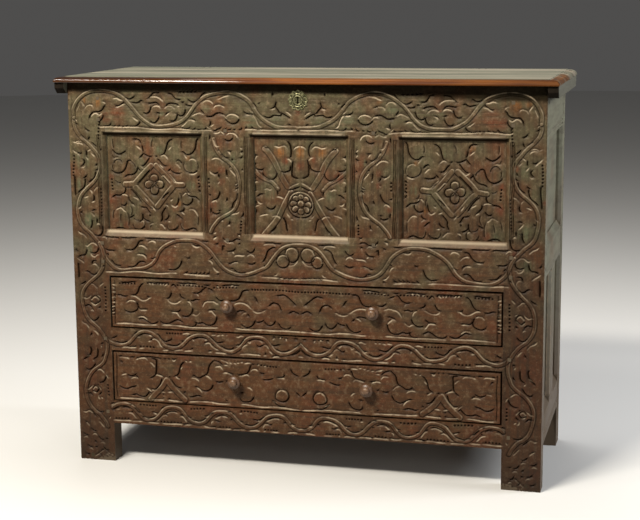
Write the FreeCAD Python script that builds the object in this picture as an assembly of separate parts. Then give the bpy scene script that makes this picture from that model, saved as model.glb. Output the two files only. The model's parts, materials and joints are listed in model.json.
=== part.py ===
import FreeCAD, Part
import math
import os

# A joined oak chest over two side-hung drawers. Lengths are in millimetres.
# +Z is up, +X runs along the front to the right and -Y points out of the front.
# The origin is on the floor, in the middle of the object's outer box.

os.makedirs("parts", exist_ok=True)
Vector = FreeCAD.Vector

# Case, measured over the posts
case_width = 1160.0
case_depth = 435.0
case_height = 951.0
post_width = 93.0
front_post_depth = 46.0
rear_post_depth = 60.0

# Front, stacked from the floor up
foot_height = 100.0
bottom_rail_height = 57.0
lower_opening_height = 131.0
drawer_rail_height = 57.0
upper_opening_height = 132.0
middle_rail_height = 115.0
top_rail_height = 128.0
front_rail_thickness = 32.0
muntin_width = 135.0
muntin_spacing = 360.0

# Ends of the case
side_rail_thickness = 28.0
side_foot_height = 106.0
side_bottom_rail_height = 84.0
side_middle_rail_height = 92.0
side_muntin_width = 90.0

# Back of the case
rear_rail_thickness = 36.0
rear_top_rail_height = 106.0
rear_middle_rail_height = 90.0
rear_bottom_rail_height = 85.0
rear_muntin_width = 95.0

# Joints of the frames
tenon_thickness = 10.0
tenon_setback = 14.0
tenon_shoulder = 12.0
front_tenon_length = 48.0
side_tenon_length = 32.0
muntin_tenon_length = 26.0
joint_clearance = 0.1
peg_width = 8.0
peg_inset = 16.0
single_peg_shares = (0.5,)
double_peg_shares = (0.3, 0.7)

# Panels in their grooves, and the edges worked on the frames
panel_recess = 14.0
rear_panel_recess = 8.0
panel_thickness = 13.0
tongue_thickness = 6.0
groove_depth = 9.0
groove_clearance = 0.3
feather_width = 28.0
bevel_depth = 11.0
bevel_side = 10.0
bevel_top = 10.0
bevel_bottom = 16.5
scratch_width = 4.0
scratch_depth = 2.0
scratch_spacing = 9.0
scratch_margin = 14.0

# Floor of the well
floor_rise = 23.0
floor_board_thickness = 14.0
floor_board_count = 5
floor_groove_depth = 10.0
floor_clearance = 0.3

# Drawers
drawer_gap = 2.0
drawer_rear_gap = 19.0
drawer_front_thickness = 24.0
drawer_side_thickness = 22.0
drawer_side_drop = 4.0
drawer_back_thickness = 16.0
drawer_bottom_thickness = 10.0
drawer_bottom_lap = 10.0
drawer_bottom_count = 5
tail_length = 14.0
tail_root = 46.0
tail_end = 66.0
runner_rise = 56.0
runner_height = 18.0
runner_projection = 10.0
runner_body = 20.0
runner_rear_lap = 20.0
runner_gap = 0.3
runner_play = 2.0

# Turned knobs
knob_diameter = 33.0
knob_reach = 28.0
knob_neck_diameter = 15.0
knob_neck_length = 9.0
knob_crown_diameter = 19.0
knob_crown_height = 8.0
knob_tenon_diameter = 11.0
knob_clearance = 0.05
knob_rise = 4.0
upper_knob_spacing = 360.0
lower_knob_spacing = 330.0

# Lid
lid_thickness = 15.0
lid_front_overhang = 24.5
lid_rear_overhang = 15.0
lid_end_overhang = 27.0
thumbnail_width = 24.0
thumbnail_step = 1.5
thumbnail_drop = 9.5
thumbnail_bulge_shares = (0.32, 0.20)
cleat_width = 24.0
cleat_height = 27.0
cleat_clearance = 1.5
cleat_end_inset = 6.0
cleat_toe = 13.0
cleat_peg_width = 7.0
cleat_peg_shares = (0.08, 0.36, 0.64, 0.92)

# Snipe hinges, an eye in the rear rail linked with a loop in the lid
hinge_spacing = 740.0
hinge_offset = 7.0
hinge_drop = 8.0
pin_diameter = 4.0
pin_clearance = 0.05
eye_diameter = 12.0
eye_width = 4.0
shank_height = 5.0
clench_thickness = 2.5
clench_length = 14.0
loop_spread = 18.0
iron_clearance = 0.1

# Lock, its bolt and staple, and the keyhole plate
lock_width = 104.0
lock_height = 70.0
lock_depth = 26.0
lock_setback = 18.0
lock_wall = 3.0
lock_drop = 0.5
lock_clearance = 0.3
staple_offset = 26.0
staple_thickness = 5.0
staple_wire = 4.0
staple_gap = 11.0
staple_drop = 26.0
staple_plate_length = 40.0
staple_plate_width = 24.0
staple_plate_thickness = 3.0
staple_slot_play = 2.0
bolt_thickness = 8.0
bolt_height = 9.0
bolt_play = 1.5
bolt_tail = 46.0
bolt_standoff = 4.5
bolt_guide_gap = 0.3
bolt_guide_width = 8.0
bolt_guide_height = 4.0
bolt_guide_margin = 3.0
key_drop = 38.0
key_hole_diameter = 10.0
key_slot_width = 6.0
key_slot_length = 14.0
plate_diameter = 49.0
plate_thickness = 1.6
plate_lobes = 12
plate_lobe_diameter = 12.0
plate_boss_diameter = 27.0
plate_boss_height = 1.0

# One overrun carries every cutter past the face it starts from
overrun = 5.0

# Levels and planes that follow from the sizes above
front_reach = max(knob_reach, lid_front_overhang)
front_y = (front_reach - lid_rear_overhang - case_depth) / 2
rear_y = front_y + case_depth
case_half = case_width / 2
opening_half = case_half - post_width
lower_opening_z = foot_height + bottom_rail_height
drawer_rail_z = lower_opening_z + lower_opening_height
upper_opening_z = drawer_rail_z + drawer_rail_height
middle_rail_z = upper_opening_z + upper_opening_height
panel_z = middle_rail_z + middle_rail_height
top_rail_z = case_height - top_rail_height
floor_z = middle_rail_z + floor_rise
lid_top = case_height + lid_thickness
peg_end = tenon_setback + tenon_thickness


def slab(x0, x1, y0, y1, z0, z1):
    """A box between three pairs of limits."""
    return Part.makeBox(x1 - x0, y1 - y0, z1 - z0, Vector(x0, y0, z0))


def grown(limits, by):
    """Six limits moved outwards by a clearance."""
    return [value + (by if index % 2 else -by) for index, value in enumerate(limits)]


def prism(points, direction):
    """A polygon pushed along a direction."""
    return Part.Face(Part.makePolygon(points + points[:1])).extrude(direction)


def wedge(near, near_w, far, far_w):
    """A flat-faced solid between two rectangles (u0, u1, z0, z1) that stand at two depths."""
    u0, u1, z0, z1 = near
    far_u0, far_u1, far_z0, far_z1 = far
    return Part.makeWedge(u0, near_w, z0, far_z0, far_u0, u1, far_w, z1, far_z1, far_u1)


def cut_all(shape, cutters):
    """The shape less every cutter whose box reaches it."""
    near = [cutter for cutter in cutters if shape.BoundBox.intersect(cutter.BoundBox)]
    return shape.cut(near).removeSplitter() if near else shape


def peg(u, z, w0, w1, width):
    """A square riven peg along the depth direction."""
    edge = width / 2
    return slab(u - edge, u + edge, w0, w1, z - edge, z + edge)


class JoinedFrame:
    """One wall of the case: rails, muntins and panels standing between two posts.

    It is worked out in its own plane: u runs to the right along the wall as seen from outside,
    w goes from the outer face into the case and z is up. Its placement stands it in the case.
    """

    def __init__(self, origin, turn, span, thickness, recess):
        self.placement = FreeCAD.Placement(origin, FreeCAD.Rotation(Vector(0, 0, 1), turn))
        self.half = span / 2
        self.thickness = thickness
        self.recess = recess
        self.rails = {}
        self.muntins = {}
        self.panels = {}
        self.post_cutters = []
        self.pegs = []

    def add_rail(self, name, z0, z1, tenon_length, peg_shares):
        """A rail with a pegged tenon at each end."""
        reach = self.half + tenon_length
        body = slab(-self.half, self.half, 0, self.thickness, z0, z1)
        tenon_w1 = tenon_setback + tenon_thickness
        tenon = (-reach, reach, tenon_setback, tenon_w1, z0 + tenon_shoulder, z1 - tenon_shoulder)
        pegs = [
            peg(side * (self.half + peg_inset), z0 + share * (z1 - z0), 0, peg_end, peg_width)
            for side in (-1, 1)
            for share in peg_shares
        ]
        self.rails[name] = cut_all(body.fuse(slab(*tenon)).removeSplitter(), pegs)
        self.post_cutters += [slab(*grown(tenon, joint_clearance))] + pegs
        self.pegs += pegs

    def add_muntin(self, name, u, width, z0, z1):
        """An upright between two rails, pegged top and bottom."""
        edge = width / 2
        body = slab(u - edge, u + edge, 0, self.thickness, z0, z1)
        tenon_w1 = tenon_setback + tenon_thickness
        cheek = edge - tenon_shoulder
        tenon_ends = (z0 - muntin_tenon_length, z1 + muntin_tenon_length)
        tenon = (u - cheek, u + cheek, tenon_setback, tenon_w1, *tenon_ends)
        pegs = [peg(u, z, 0, peg_end, peg_width) for z in (z0 - peg_inset, z1 + peg_inset)]
        self.muntins[name] = cut_all(body.fuse(slab(*tenon)).removeSplitter(), pegs)
        cutters = [slab(*grown(tenon, joint_clearance))] + pegs
        self.rails = {rail: cut_all(shape, cutters) for rail, shape in self.rails.items()}
        self.pegs += pegs

    def add_panel(self, name, u0, u1, z0, z1, bevels):
        """A panel feathered on its back, with its groove and the bevel worked round the opening."""
        tongue_w = self.recess + tongue_thickness
        reach = groove_depth - groove_clearance
        tongue = slab(u0 - reach, u1 + reach, self.recess, tongue_w, z0 - reach, z1 + reach)
        opening = (u0, u1, z0, z1)
        feather = (u0 + feather_width, u1 - feather_width, z0 + feather_width, z1 - feather_width)
        field = wedge(opening, tongue_w, feather, self.recess + panel_thickness)
        self.panels[name] = tongue.fuse(field).removeSplitter()
        groove_w = (self.recess - groove_clearance, tongue_w + groove_clearance)
        cutters = [
            slab(u0 - groove_depth, u1 + groove_depth, *groove_w, z0 - groove_depth, z1 + groove_depth)
        ]
        if bevels:
            left, right, bottom, top = (size * (bevel_depth + overrun) / bevel_depth for size in bevels)
            outer = (u0 - left, u1 + right, z0 - bottom, z1 + top)
            cutters.append(wedge(outer, -overrun, opening, bevel_depth))
        self.rails = {rail: cut_all(shape, cutters) for rail, shape in self.rails.items()}
        self.muntins = {muntin: cut_all(shape, cutters) for muntin, shape in self.muntins.items()}
        self.post_cutters += cutters

    def scratch(self, name, z):
        """A V line scratched along the whole face of a rail."""
        edge = scratch_width / 2
        profile = [
            Vector(-self.half, 0, z - edge),
            Vector(-self.half, 0, z + edge),
            Vector(-self.half, scratch_depth, z),
        ]
        self.rails[name] = cut_all(self.rails[name], [prism(profile, Vector(2 * self.half, 0, 0))])

    def stand(self, shape):
        """A copy of a shape of this wall, moved to its place in the case."""
        placed = shape.copy()
        placed.Placement = self.placement.multiply(placed.Placement)
        return placed

    def stood(self):
        """Every rail, muntin and panel in its place."""
        members = {**self.rails, **self.muntins, **self.panels}
        return {name: self.stand(shape) for name, shape in members.items()}


def front_wall():
    """Four rails, two muntins and three panels."""
    wall = JoinedFrame(Vector(0, front_y, 0), 0, 2 * opening_half, front_rail_thickness, panel_recess)
    wall.add_rail(
        "front_bottom_rail", foot_height, lower_opening_z, front_tenon_length, single_peg_shares
    )
    wall.add_rail(
        "front_drawer_rail", drawer_rail_z, upper_opening_z, front_tenon_length, single_peg_shares
    )
    wall.add_rail("front_middle_rail", middle_rail_z, panel_z, front_tenon_length, double_peg_shares)
    wall.add_rail("front_top_rail", top_rail_z, case_height, front_tenon_length, double_peg_shares)
    centre = muntin_spacing / 2
    wall.add_muntin("front_muntin_left", -centre, muntin_width, panel_z, top_rail_z)
    wall.add_muntin("front_muntin_right", centre, muntin_width, panel_z, top_rail_z)
    inner = centre - muntin_width / 2
    outer = centre + muntin_width / 2
    bevels = (bevel_side, bevel_side, bevel_bottom, bevel_top)
    wall.add_panel("front_panel_left", -opening_half, -outer, panel_z, top_rail_z, bevels)
    wall.add_panel("front_panel_centre", -inner, inner, panel_z, top_rail_z, bevels)
    wall.add_panel("front_panel_right", outer, opening_half, panel_z, top_rail_z, bevels)
    return wall


def side_wall(side, turn, facing):
    """One end of the case: three rails, a lower muntin, one wide panel above and two below."""
    span = case_depth - front_post_depth - rear_post_depth
    middle_y = front_y + front_post_depth + span / 2
    origin = Vector(facing * case_half, middle_y, 0)
    wall = JoinedFrame(origin, turn, span, side_rail_thickness, panel_recess)
    bottom_z = side_foot_height + side_bottom_rail_height
    middle_z = panel_z - side_middle_rail_height
    names = [f"{side}_side_{piece}" for piece in ("bottom_rail", "middle_rail", "top_rail")]
    wall.add_rail(names[0], side_foot_height, bottom_z, side_tenon_length, single_peg_shares)
    wall.add_rail(names[1], middle_z, panel_z, side_tenon_length, double_peg_shares)
    wall.add_rail(names[2], top_rail_z, case_height, side_tenon_length, double_peg_shares)
    wall.add_muntin(f"{side}_side_muntin", 0, side_muntin_width, bottom_z, middle_z)
    bevels = (0, 0, bevel_bottom, 0)
    half = span / 2
    edge = side_muntin_width / 2
    wall.add_panel(f"{side}_side_upper_panel", -half, half, panel_z, top_rail_z, bevels)
    wall.add_panel("first", -half, -edge, bottom_z, middle_z, bevels)
    wall.add_panel("second", edge, half, bottom_z, middle_z, bevels)
    pair = [wall.panels.pop("first"), wall.panels.pop("second")]
    wall.panels[f"{side}_side_lower_panels"] = Part.makeCompound(pair)
    for line in (0, scratch_spacing):
        wall.scratch(names[2], top_rail_z + scratch_margin + line)
        wall.scratch(names[0], side_foot_height + scratch_margin + line)
    return wall


def rear_wall():
    """Plain back: three rails with a muntin and two panels in each tier."""
    wall = JoinedFrame(Vector(0, rear_y, 0), 180, 2 * opening_half, rear_rail_thickness, rear_panel_recess)
    bottom_z = foot_height + rear_bottom_rail_height
    middle_z = floor_z - rear_middle_rail_height
    top_z = case_height - rear_top_rail_height
    wall.add_rail("rear_bottom_rail", foot_height, bottom_z, front_tenon_length, double_peg_shares)
    wall.add_rail("rear_middle_rail", middle_z, floor_z, front_tenon_length, double_peg_shares)
    wall.add_rail("rear_top_rail", top_z, case_height, front_tenon_length, double_peg_shares)
    edge = rear_muntin_width / 2
    for tier, z0, z1 in (("lower", bottom_z, middle_z), ("upper", floor_z, top_z)):
        wall.add_muntin(f"rear_{tier}_muntin", 0, rear_muntin_width, z0, z1)
        wall.add_panel("first", -opening_half, -edge, z0, z1, None)
        wall.add_panel("second", edge, opening_half, z0, z1, None)
        pair = [wall.panels.pop("first"), wall.panels.pop("second")]
        wall.panels[f"rear_{tier}_panels"] = Part.makeCompound(pair)
    return wall


def post_limits(facing, depth_from, depth):
    """The six limits of a corner post."""
    x0, x1 = sorted((facing * opening_half, facing * case_half))
    return (x0, x1, depth_from, depth_from + depth, 0, case_height)


def corner_posts():
    """The limits of the four posts by name."""
    rear_start = rear_y - rear_post_depth
    return {
        "post_front_left": post_limits(-1, front_y, front_post_depth),
        "post_front_right": post_limits(1, front_y, front_post_depth),
        "post_rear_left": post_limits(-1, rear_start, rear_post_depth),
        "post_rear_right": post_limits(1, rear_start, rear_post_depth),
    }


def floor_boards(posts):
    """Boards from a groove in the front middle rail back to the top of the rear middle rail."""
    half = case_half - side_rail_thickness - floor_clearance
    y0 = front_y + front_rail_thickness - floor_groove_depth + floor_clearance
    y1 = rear_y - rear_panel_recess - panel_thickness - floor_clearance
    step = 2 * half / floor_board_count
    edge = rear_muntin_width / 2
    muntin = (-edge, edge, rear_y - rear_rail_thickness, rear_y, floor_z, case_height)
    corners = [slab(*grown(limits, floor_clearance)) for limits in [*posts.values(), muntin]]
    floor_top = floor_z + floor_board_thickness
    boards = [
        slab(-half + step * index, -half + step * (index + 1), y0, y1, floor_z, floor_top)
        for index in range(floor_board_count)
    ]
    return Part.makeCompound([cut_all(board, corners) for board in boards])


def floor_groove():
    """The groove for the floor boards in the back of the front middle rail."""
    y1 = front_y + front_rail_thickness
    thickness = floor_board_thickness + floor_clearance
    return slab(
        -opening_half, opening_half, y1 - floor_groove_depth, y1 + overrun, floor_z, floor_z + thickness
    )


def drawer_runners(opening_z):
    """The two bars that hang a drawer, each butted between posts and nailed along their inner faces."""
    z0 = opening_z + runner_rise
    z1 = z0 + runner_height
    inner = opening_half - runner_projection
    front_start = front_y + drawer_front_thickness + runner_gap
    front_post_end = front_y + front_post_depth
    rear_post_start = rear_y - rear_post_depth
    tongue = slab(inner, opening_half, front_start, rear_post_start + runner_rear_lap, z0, z1)
    body = slab(opening_half, opening_half + runner_body, front_post_end, rear_post_start, z0, z1)
    right = tongue.fuse(body).removeSplitter()
    return Part.makeCompound([right.mirror(Vector(0, 0, 0), Vector(1, 0, 0)), right])


def knob(x, y, z):
    """A turned knob with a neck, a swelled head and a tenon through the drawer front."""
    tenon = knob_tenon_diameter / 2 - knob_clearance
    outline = [
        (0, drawer_front_thickness),
        (tenon, drawer_front_thickness),
        (tenon, 0),
        (knob_neck_diameter / 2, 0),
        (knob_neck_diameter / 2, -knob_neck_length),
        (knob_diameter / 2, knob_crown_height - knob_reach),
        (knob_crown_diameter / 2, -knob_reach),
        (0, -knob_reach),
    ]
    points = [Vector(radius, depth, 0) for radius, depth in outline]
    profile = Part.Face(Part.makePolygon(points + points[:1]))
    turned = profile.revolve(Vector(0, 0, 0), Vector(0, 1, 0), 360)
    turned.translate(Vector(x, y, z))
    return turned


def drawer(name, opening_z, opening_height, knob_spacing):
    """A drawer whose grooved sides hang on the runners and are dovetailed into the front."""
    half = opening_half - drawer_gap
    z0 = opening_z + drawer_gap
    z1 = opening_z + opening_height - drawer_gap
    front_back = front_y + drawer_front_thickness
    end = rear_y - rear_rail_thickness - drawer_rear_gap
    side_z0 = z0 + drawer_bottom_thickness
    side_z1 = z1 - drawer_side_drop
    tail_z = (side_z0 + side_z1) / 2
    inner = half - drawer_side_thickness

    side = slab(inner, half, front_back, end, side_z0, side_z1)
    tail_points = [
        Vector(inner, front_back, tail_z - tail_root / 2),
        Vector(inner, front_back - tail_length, tail_z - tail_end / 2),
        Vector(inner, front_back - tail_length, tail_z + tail_end / 2),
        Vector(inner, front_back, tail_z + tail_root / 2),
    ]
    tail = prism(tail_points, Vector(drawer_side_thickness, 0, 0))
    slide_x0 = opening_half - runner_projection - runner_play
    slide_z0 = opening_z + runner_rise - runner_play
    slide_z1 = opening_z + runner_rise + runner_height + runner_gap
    slide = slab(slide_x0, half + overrun, front_back, end + overrun, slide_z0, slide_z1)
    right_side = side.fuse(tail).removeSplitter().cut(slide)
    middle = (Vector(0, 0, 0), Vector(1, 0, 0))

    step = 2 * half / drawer_bottom_count
    board_y0 = front_back - drawer_bottom_lap
    boards = [
        slab(-half + step * index, -half + step * (index + 1), board_y0, end, z0, side_z0)
        for index in range(drawer_bottom_count)
    ]
    knob_z = (z0 + z1) / 2 + knob_rise
    knob_places = [side * knob_spacing / 2 for side in (-1, 1)]
    holes = [
        Part.makeCylinder(
            knob_tenon_diameter / 2,
            drawer_front_thickness + 2 * overrun,
            Vector(x, front_y - overrun, knob_z),
            Vector(0, 1, 0),
        )
        for x in knob_places
    ]
    rebate = slab(-half, half, board_y0, front_back + overrun, z0 - overrun, side_z0)
    front = slab(-half, half, front_y, front_back, z0, z1)
    front = cut_all(front, [tail, tail.mirror(*middle), rebate] + holes)
    back = slab(-inner, inner, end - drawer_back_thickness, end, side_z0, side_z1)
    return {
        f"{name}_front": front,
        f"{name}_left_side": right_side.mirror(*middle),
        f"{name}_right_side": right_side,
        f"{name}_back": back,
        f"{name}_bottom_boards": Part.makeCompound(boards),
        f"{name}_knobs": Part.makeCompound([knob(x, front_y, knob_z) for x in knob_places]),
    }


def thumbnail_cutter(along):
    """The waste above the thumbnail moulding of a lid edge, running along +X from the origin."""
    width_share, fall_share = thumbnail_bulge_shares
    fall = thumbnail_drop - thumbnail_step
    inner_top = Vector(0, thumbnail_width, overrun)
    inner_step = Vector(0, thumbnail_width, -thumbnail_step)
    bulge = Vector(0, thumbnail_width * width_share, -thumbnail_step - fall * fall_share)
    edge = Vector(0, 0, -thumbnail_drop)
    outer_low = Vector(0, -overrun, -thumbnail_drop)
    outer_top = Vector(0, -overrun, overrun)
    profile = [
        Part.LineSegment(outer_top, inner_top),
        Part.LineSegment(inner_top, inner_step),
        Part.Arc(inner_step, bulge, edge),
        Part.LineSegment(edge, outer_low),
        Part.LineSegment(outer_low, outer_top),
    ]
    wire = Part.Wire([segment.toShape() for segment in profile])
    return Part.Face(wire).extrude(Vector(along, 0, 0))


def lid_edge_cutters():
    """The waste above the mouldings on the lid's front and two ends."""
    half = case_half + lid_end_overhang
    y0 = front_y - lid_front_overhang
    y1 = rear_y + lid_rear_overhang
    front = thumbnail_cutter(2 * half)
    front.translate(Vector(-half, y0, lid_top))
    right = thumbnail_cutter(y1 - y0)
    right.rotate(Vector(0, 0, 0), Vector(0, 0, 1), 90)
    right.translate(Vector(half, y0, lid_top))
    return [front, right, right.mirror(Vector(0, 0, 0), Vector(1, 0, 0))]


def lid_board():
    """The lid, with a thumbnail moulding on its front and both ends."""
    half = case_half + lid_end_overhang
    board = slab(-half, half, front_y - lid_front_overhang, rear_y + lid_rear_overhang, case_height, lid_top)
    return cut_all(board, lid_edge_cutters())


def lid_cleats():
    """The battens under the ends of the lid and their pegs."""
    x0 = case_half + cleat_clearance
    x1 = x0 + cleat_width
    y0 = front_y - lid_front_overhang + cleat_end_inset
    y1 = rear_y + lid_rear_overhang - cleat_end_inset
    z0 = case_height - cleat_height
    profile = [
        Vector(x0, y0, case_height),
        Vector(x0, y0, z0 + cleat_toe),
        Vector(x0, y0 + cleat_toe, z0),
        Vector(x0, y1 - cleat_toe, z0),
        Vector(x0, y1, z0 + cleat_toe),
        Vector(x0, y1, case_height),
    ]
    right = prism(profile, Vector(x1 - x0, 0, 0))
    pegs = []
    for share in cleat_peg_shares:
        upright = peg(0, 0, 0, cleat_height + lid_thickness, cleat_peg_width)
        upright.rotate(Vector(0, 0, 0), Vector(1, 0, 0), 90)
        upright.translate(Vector((x0 + x1) / 2, y0 + share * (y1 - y0), z0))
        pegs.append(cut_all(upright, lid_edge_cutters()))
    return right, pegs


def hinge_axis():
    """Depth and height of the line that the lid turns about."""
    return rear_y + hinge_offset, case_height - hinge_drop


def rail_eye(x):
    """A forged eye whose shank is driven through the rear rail and clenched inside."""
    y, z = hinge_axis()
    inside = rear_y - rear_rail_thickness
    x0 = x - eye_width / 2
    ring = Part.makeCylinder(eye_diameter / 2, eye_width, Vector(x0, y, z), Vector(1, 0, 0))
    shank = slab(x0, x0 + eye_width, inside, y, z - shank_height / 2, z + shank_height / 2)
    clench_z0 = z + shank_height / 2 - clench_length
    clench = slab(x0, x0 + eye_width, inside - clench_thickness, inside, clench_z0, z + shank_height / 2)
    hole_radius = pin_diameter / 2 + pin_clearance
    hole = Part.makeCylinder(hole_radius, eye_width, Vector(x0, y, z), Vector(1, 0, 0))
    return ring.fuse([shank, clench]).removeSplitter().cut(hole)


def eye_hole(x):
    """The hole for an eye's shank in the rear rail."""
    z0 = hinge_axis()[1] - shank_height / 2
    edge = eye_width / 2
    limits = (x - edge, x + edge, rear_y - rear_rail_thickness, rear_y, z0, z0 + shank_height)
    return slab(*grown(limits, iron_clearance))


def loop_legs(x):
    """The limits of a loop's two square legs and of their ends clenched flush in the top of the lid."""
    y, z = hinge_axis()
    edge = pin_diameter / 2
    limits = []
    for leg in (x - loop_spread / 2, x + loop_spread / 2):
        limits.append((leg - edge, leg + edge, y - edge, y + edge, z - edge, lid_top))
        limits.append((leg - edge, leg + edge, y - clench_length, y, lid_top - clench_thickness, lid_top))
    return limits


def lid_loop(x):
    """A forged loop whose round crossbar is the hinge pin and whose legs go up through the lid."""
    y, z = hinge_axis()
    start = Vector(x - loop_spread / 2, y, z)
    pin = Part.makeCylinder(pin_diameter / 2, loop_spread, start, Vector(1, 0, 0))
    return pin.fuse([slab(*limits) for limits in loop_legs(x)]).removeSplitter()


def loop_holes(x):
    """The holes in the lid for a loop's legs and the seats of their clenched ends."""
    return [slab(*grown(limits, iron_clearance)) for limits in loop_legs(x)]


def lock_limits():
    """The six limits of the lock case."""
    y0 = front_y + lock_setback
    z1 = case_height - lock_drop
    return (-lock_width / 2, lock_width / 2, y0, y0 + lock_depth, z1 - lock_height, z1)


def bolt_limits():
    """The six limits of the bolt, drawn back clear of the staple."""
    y = front_y + lock_setback + lock_depth / 2
    z0 = case_height - staple_drop + staple_wire + bolt_play
    tip = staple_offset - staple_thickness / 2 - bolt_standoff
    return (-bolt_tail, tip, y - bolt_thickness / 2, y + bolt_thickness / 2, z0, z0 + bolt_height)


def key_cutter(y0, y1):
    """A keyhole between two depths: a round hole over a slot."""
    z = case_height - key_drop
    edge = key_slot_width / 2
    radius = key_hole_diameter / 2
    hole = Part.makeCylinder(radius, y1 - y0, Vector(0, y0, z), Vector(0, 1, 0))
    return hole.fuse(slab(-edge, edge, y0, y1, z - key_slot_length, z)).removeSplitter()


def lock_case():
    """An iron box let into the back of the top rail, slotted above for the staple."""
    x0, x1, y0, y1, z0, z1 = lock_limits()
    inner = grown(lock_limits(), -lock_wall)
    shell = slab(*lock_limits()).cut(slab(*inner))
    bolt = bolt_limits()
    guides = []
    for start in (bolt[0] + bolt_guide_margin, bolt[1] - bolt_guide_margin - bolt_guide_width):
        x = (start, start + bolt_guide_width)
        low = bolt[4] - bolt_guide_gap
        high = bolt[5] + bolt_guide_gap
        guides.append(slab(*x, inner[2], inner[3], low - bolt_guide_height, low))
        guides.append(slab(*x, inner[2], inner[3], high, inner[5]))
    half_slot = staple_thickness / 2 + staple_slot_play
    half_gap = staple_gap / 2 + staple_wire + staple_slot_play
    y = (y0 + y1) / 2
    slot_x = (staple_offset - half_slot, staple_offset + half_slot)
    slot = slab(*slot_x, y - half_gap, y + half_gap, inner[5] - overrun, z1 + overrun)
    key_way = key_cutter(y0 - overrun, inner[2] + lock_clearance)
    return shell.fuse(guides).removeSplitter().cut([slot, key_way])


def lock_staple():
    """A plate in the underside of the lid with a looped tongue that the bolt passes through."""
    y = front_y + lock_setback + lock_depth / 2
    x0 = staple_offset - staple_thickness / 2
    x1 = staple_offset + staple_thickness / 2
    half_gap = staple_gap / 2
    half = half_gap + staple_wire
    z0 = case_height - staple_drop
    tongue = slab(x0, x1, y - half, y + half, z0, case_height)
    eye = slab(x0 - overrun, x1 + overrun, y - half_gap, y + half_gap, z0 + staple_wire, case_height)
    return tongue.cut(eye).fuse(slab(*staple_plate_limits())).removeSplitter()


def staple_plate_limits():
    """The six limits of the staple's plate, let into the lid."""
    y = front_y + lock_setback + lock_depth / 2
    half_length = staple_plate_length / 2
    half_width = staple_plate_width / 2
    x0 = staple_offset - half_length
    x1 = staple_offset + half_length
    return (x0, x1, y - half_width, y + half_width, case_height, case_height + staple_plate_thickness)


def keyhole_plate():
    """A cast plate with a lobed rim and a raised boss round the keyhole."""
    z = case_height - key_drop
    y = front_y - plate_thickness
    lobe_radius = plate_lobe_diameter / 2
    lobe_circle = plate_diameter / 2 - lobe_radius
    disc = Part.makeCylinder(lobe_circle, plate_thickness, Vector(0, y, z), Vector(0, 1, 0))
    lobes = []
    for step in range(plate_lobes):
        turn = 2 * math.pi * step / plate_lobes
        centre = Vector(lobe_circle * math.cos(turn), y, z + lobe_circle * math.sin(turn))
        lobes.append(Part.makeCylinder(lobe_radius, plate_thickness, centre, Vector(0, 1, 0)))
    plate = disc.fuse(lobes).removeSplitter()
    boss_start = Vector(0, y - plate_boss_height, z)
    radius = plate_boss_diameter / 2
    boss = Part.makeCylinder(radius, plate_boss_height, boss_start, Vector(0, 1, 0))
    plate = plate.fuse(boss).removeSplitter()
    return plate.cut(key_cutter(y - plate_boss_height - overrun, front_y + overrun))


nodes = {}
walls = [front_wall(), side_wall("left", -90, -1), side_wall("right", 90, 1), rear_wall()]
for wall in walls:
    nodes.update(wall.stood())

post_sizes = corner_posts()
post_cutters = [wall.stand(cutter) for wall in walls for cutter in wall.post_cutters]
for name, limits in post_sizes.items():
    nodes[name] = cut_all(slab(*limits), post_cutters)
nodes["joint_pegs"] = Part.makeCompound([wall.stand(shape) for wall in walls for shape in wall.pegs])

nodes["floor_boards"] = floor_boards(post_sizes)
nodes["front_middle_rail"] = nodes["front_middle_rail"].cut(floor_groove())
nodes["upper_drawer_runners"] = drawer_runners(upper_opening_z)
nodes["lower_drawer_runners"] = drawer_runners(lower_opening_z)
nodes.update(drawer("upper_drawer", upper_opening_z, upper_opening_height, upper_knob_spacing))
nodes.update(drawer("lower_drawer", lower_opening_z, lower_opening_height, lower_knob_spacing))

lock_x0, lock_x1, lock_y0, lock_y1, lock_z0, lock_z1 = grown(lock_limits(), lock_clearance)
lock_pocket = slab(lock_x0, lock_x1, lock_y0, lock_y1, lock_z0, lock_z1 + overrun)
key_way = key_cutter(front_y - overrun, front_y + lock_setback + overrun)
nodes["front_top_rail"] = nodes["front_top_rail"].cut([lock_pocket, key_way])
nodes["lock_case"] = lock_case()
nodes["lock_bolt"] = slab(*bolt_limits())
nodes["keyhole_plate"] = keyhole_plate()

hinge_places = (-hinge_spacing / 2, hinge_spacing / 2)
nodes["rear_top_rail"] = nodes["rear_top_rail"].cut([eye_hole(x) for x in hinge_places])
nodes["hinge_rail_eyes"] = Part.makeCompound([rail_eye(x) for x in hinge_places])
nodes["hinge_lid_loops"] = Part.makeCompound([lid_loop(x) for x in hinge_places])

right_cleat, right_pegs = lid_cleats()
mirror_plane = (Vector(0, 0, 0), Vector(1, 0, 0))
cleat_pegs = right_pegs + [shape.mirror(*mirror_plane) for shape in right_pegs]
nodes["lid_right_cleat"] = right_cleat.cut(right_pegs)
nodes["lid_left_cleat"] = nodes["lid_right_cleat"].mirror(*mirror_plane)
nodes["lid_cleat_pegs"] = Part.makeCompound(cleat_pegs)
nodes["lock_staple"] = lock_staple()
lid_cutters = cleat_pegs + [slab(*staple_plate_limits())]
for x in hinge_places:
    lid_cutters += loop_holes(x)
nodes["lid_board"] = lid_board().cut(lid_cutters)

for name, shape in sorted(nodes.items()):
    shape.exportStep(f"parts/{name}.step")
    print(name, len(shape.Solids), round(shape.Volume), shape.isValid())
print(len(nodes), "nodes")
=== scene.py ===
# %% [markdown]
# # A carved chest over two drawers
# The solids of the chest come in first and stay where they are. Everything that follows dresses them:
# carved boards for the front, worn boards for the ends and the lid, turned knobs and a cast keyhole plate.

# %% Load the frame
import json
import math
import bpy
import numpy as np
from mathutils import Matrix, Vector

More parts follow.
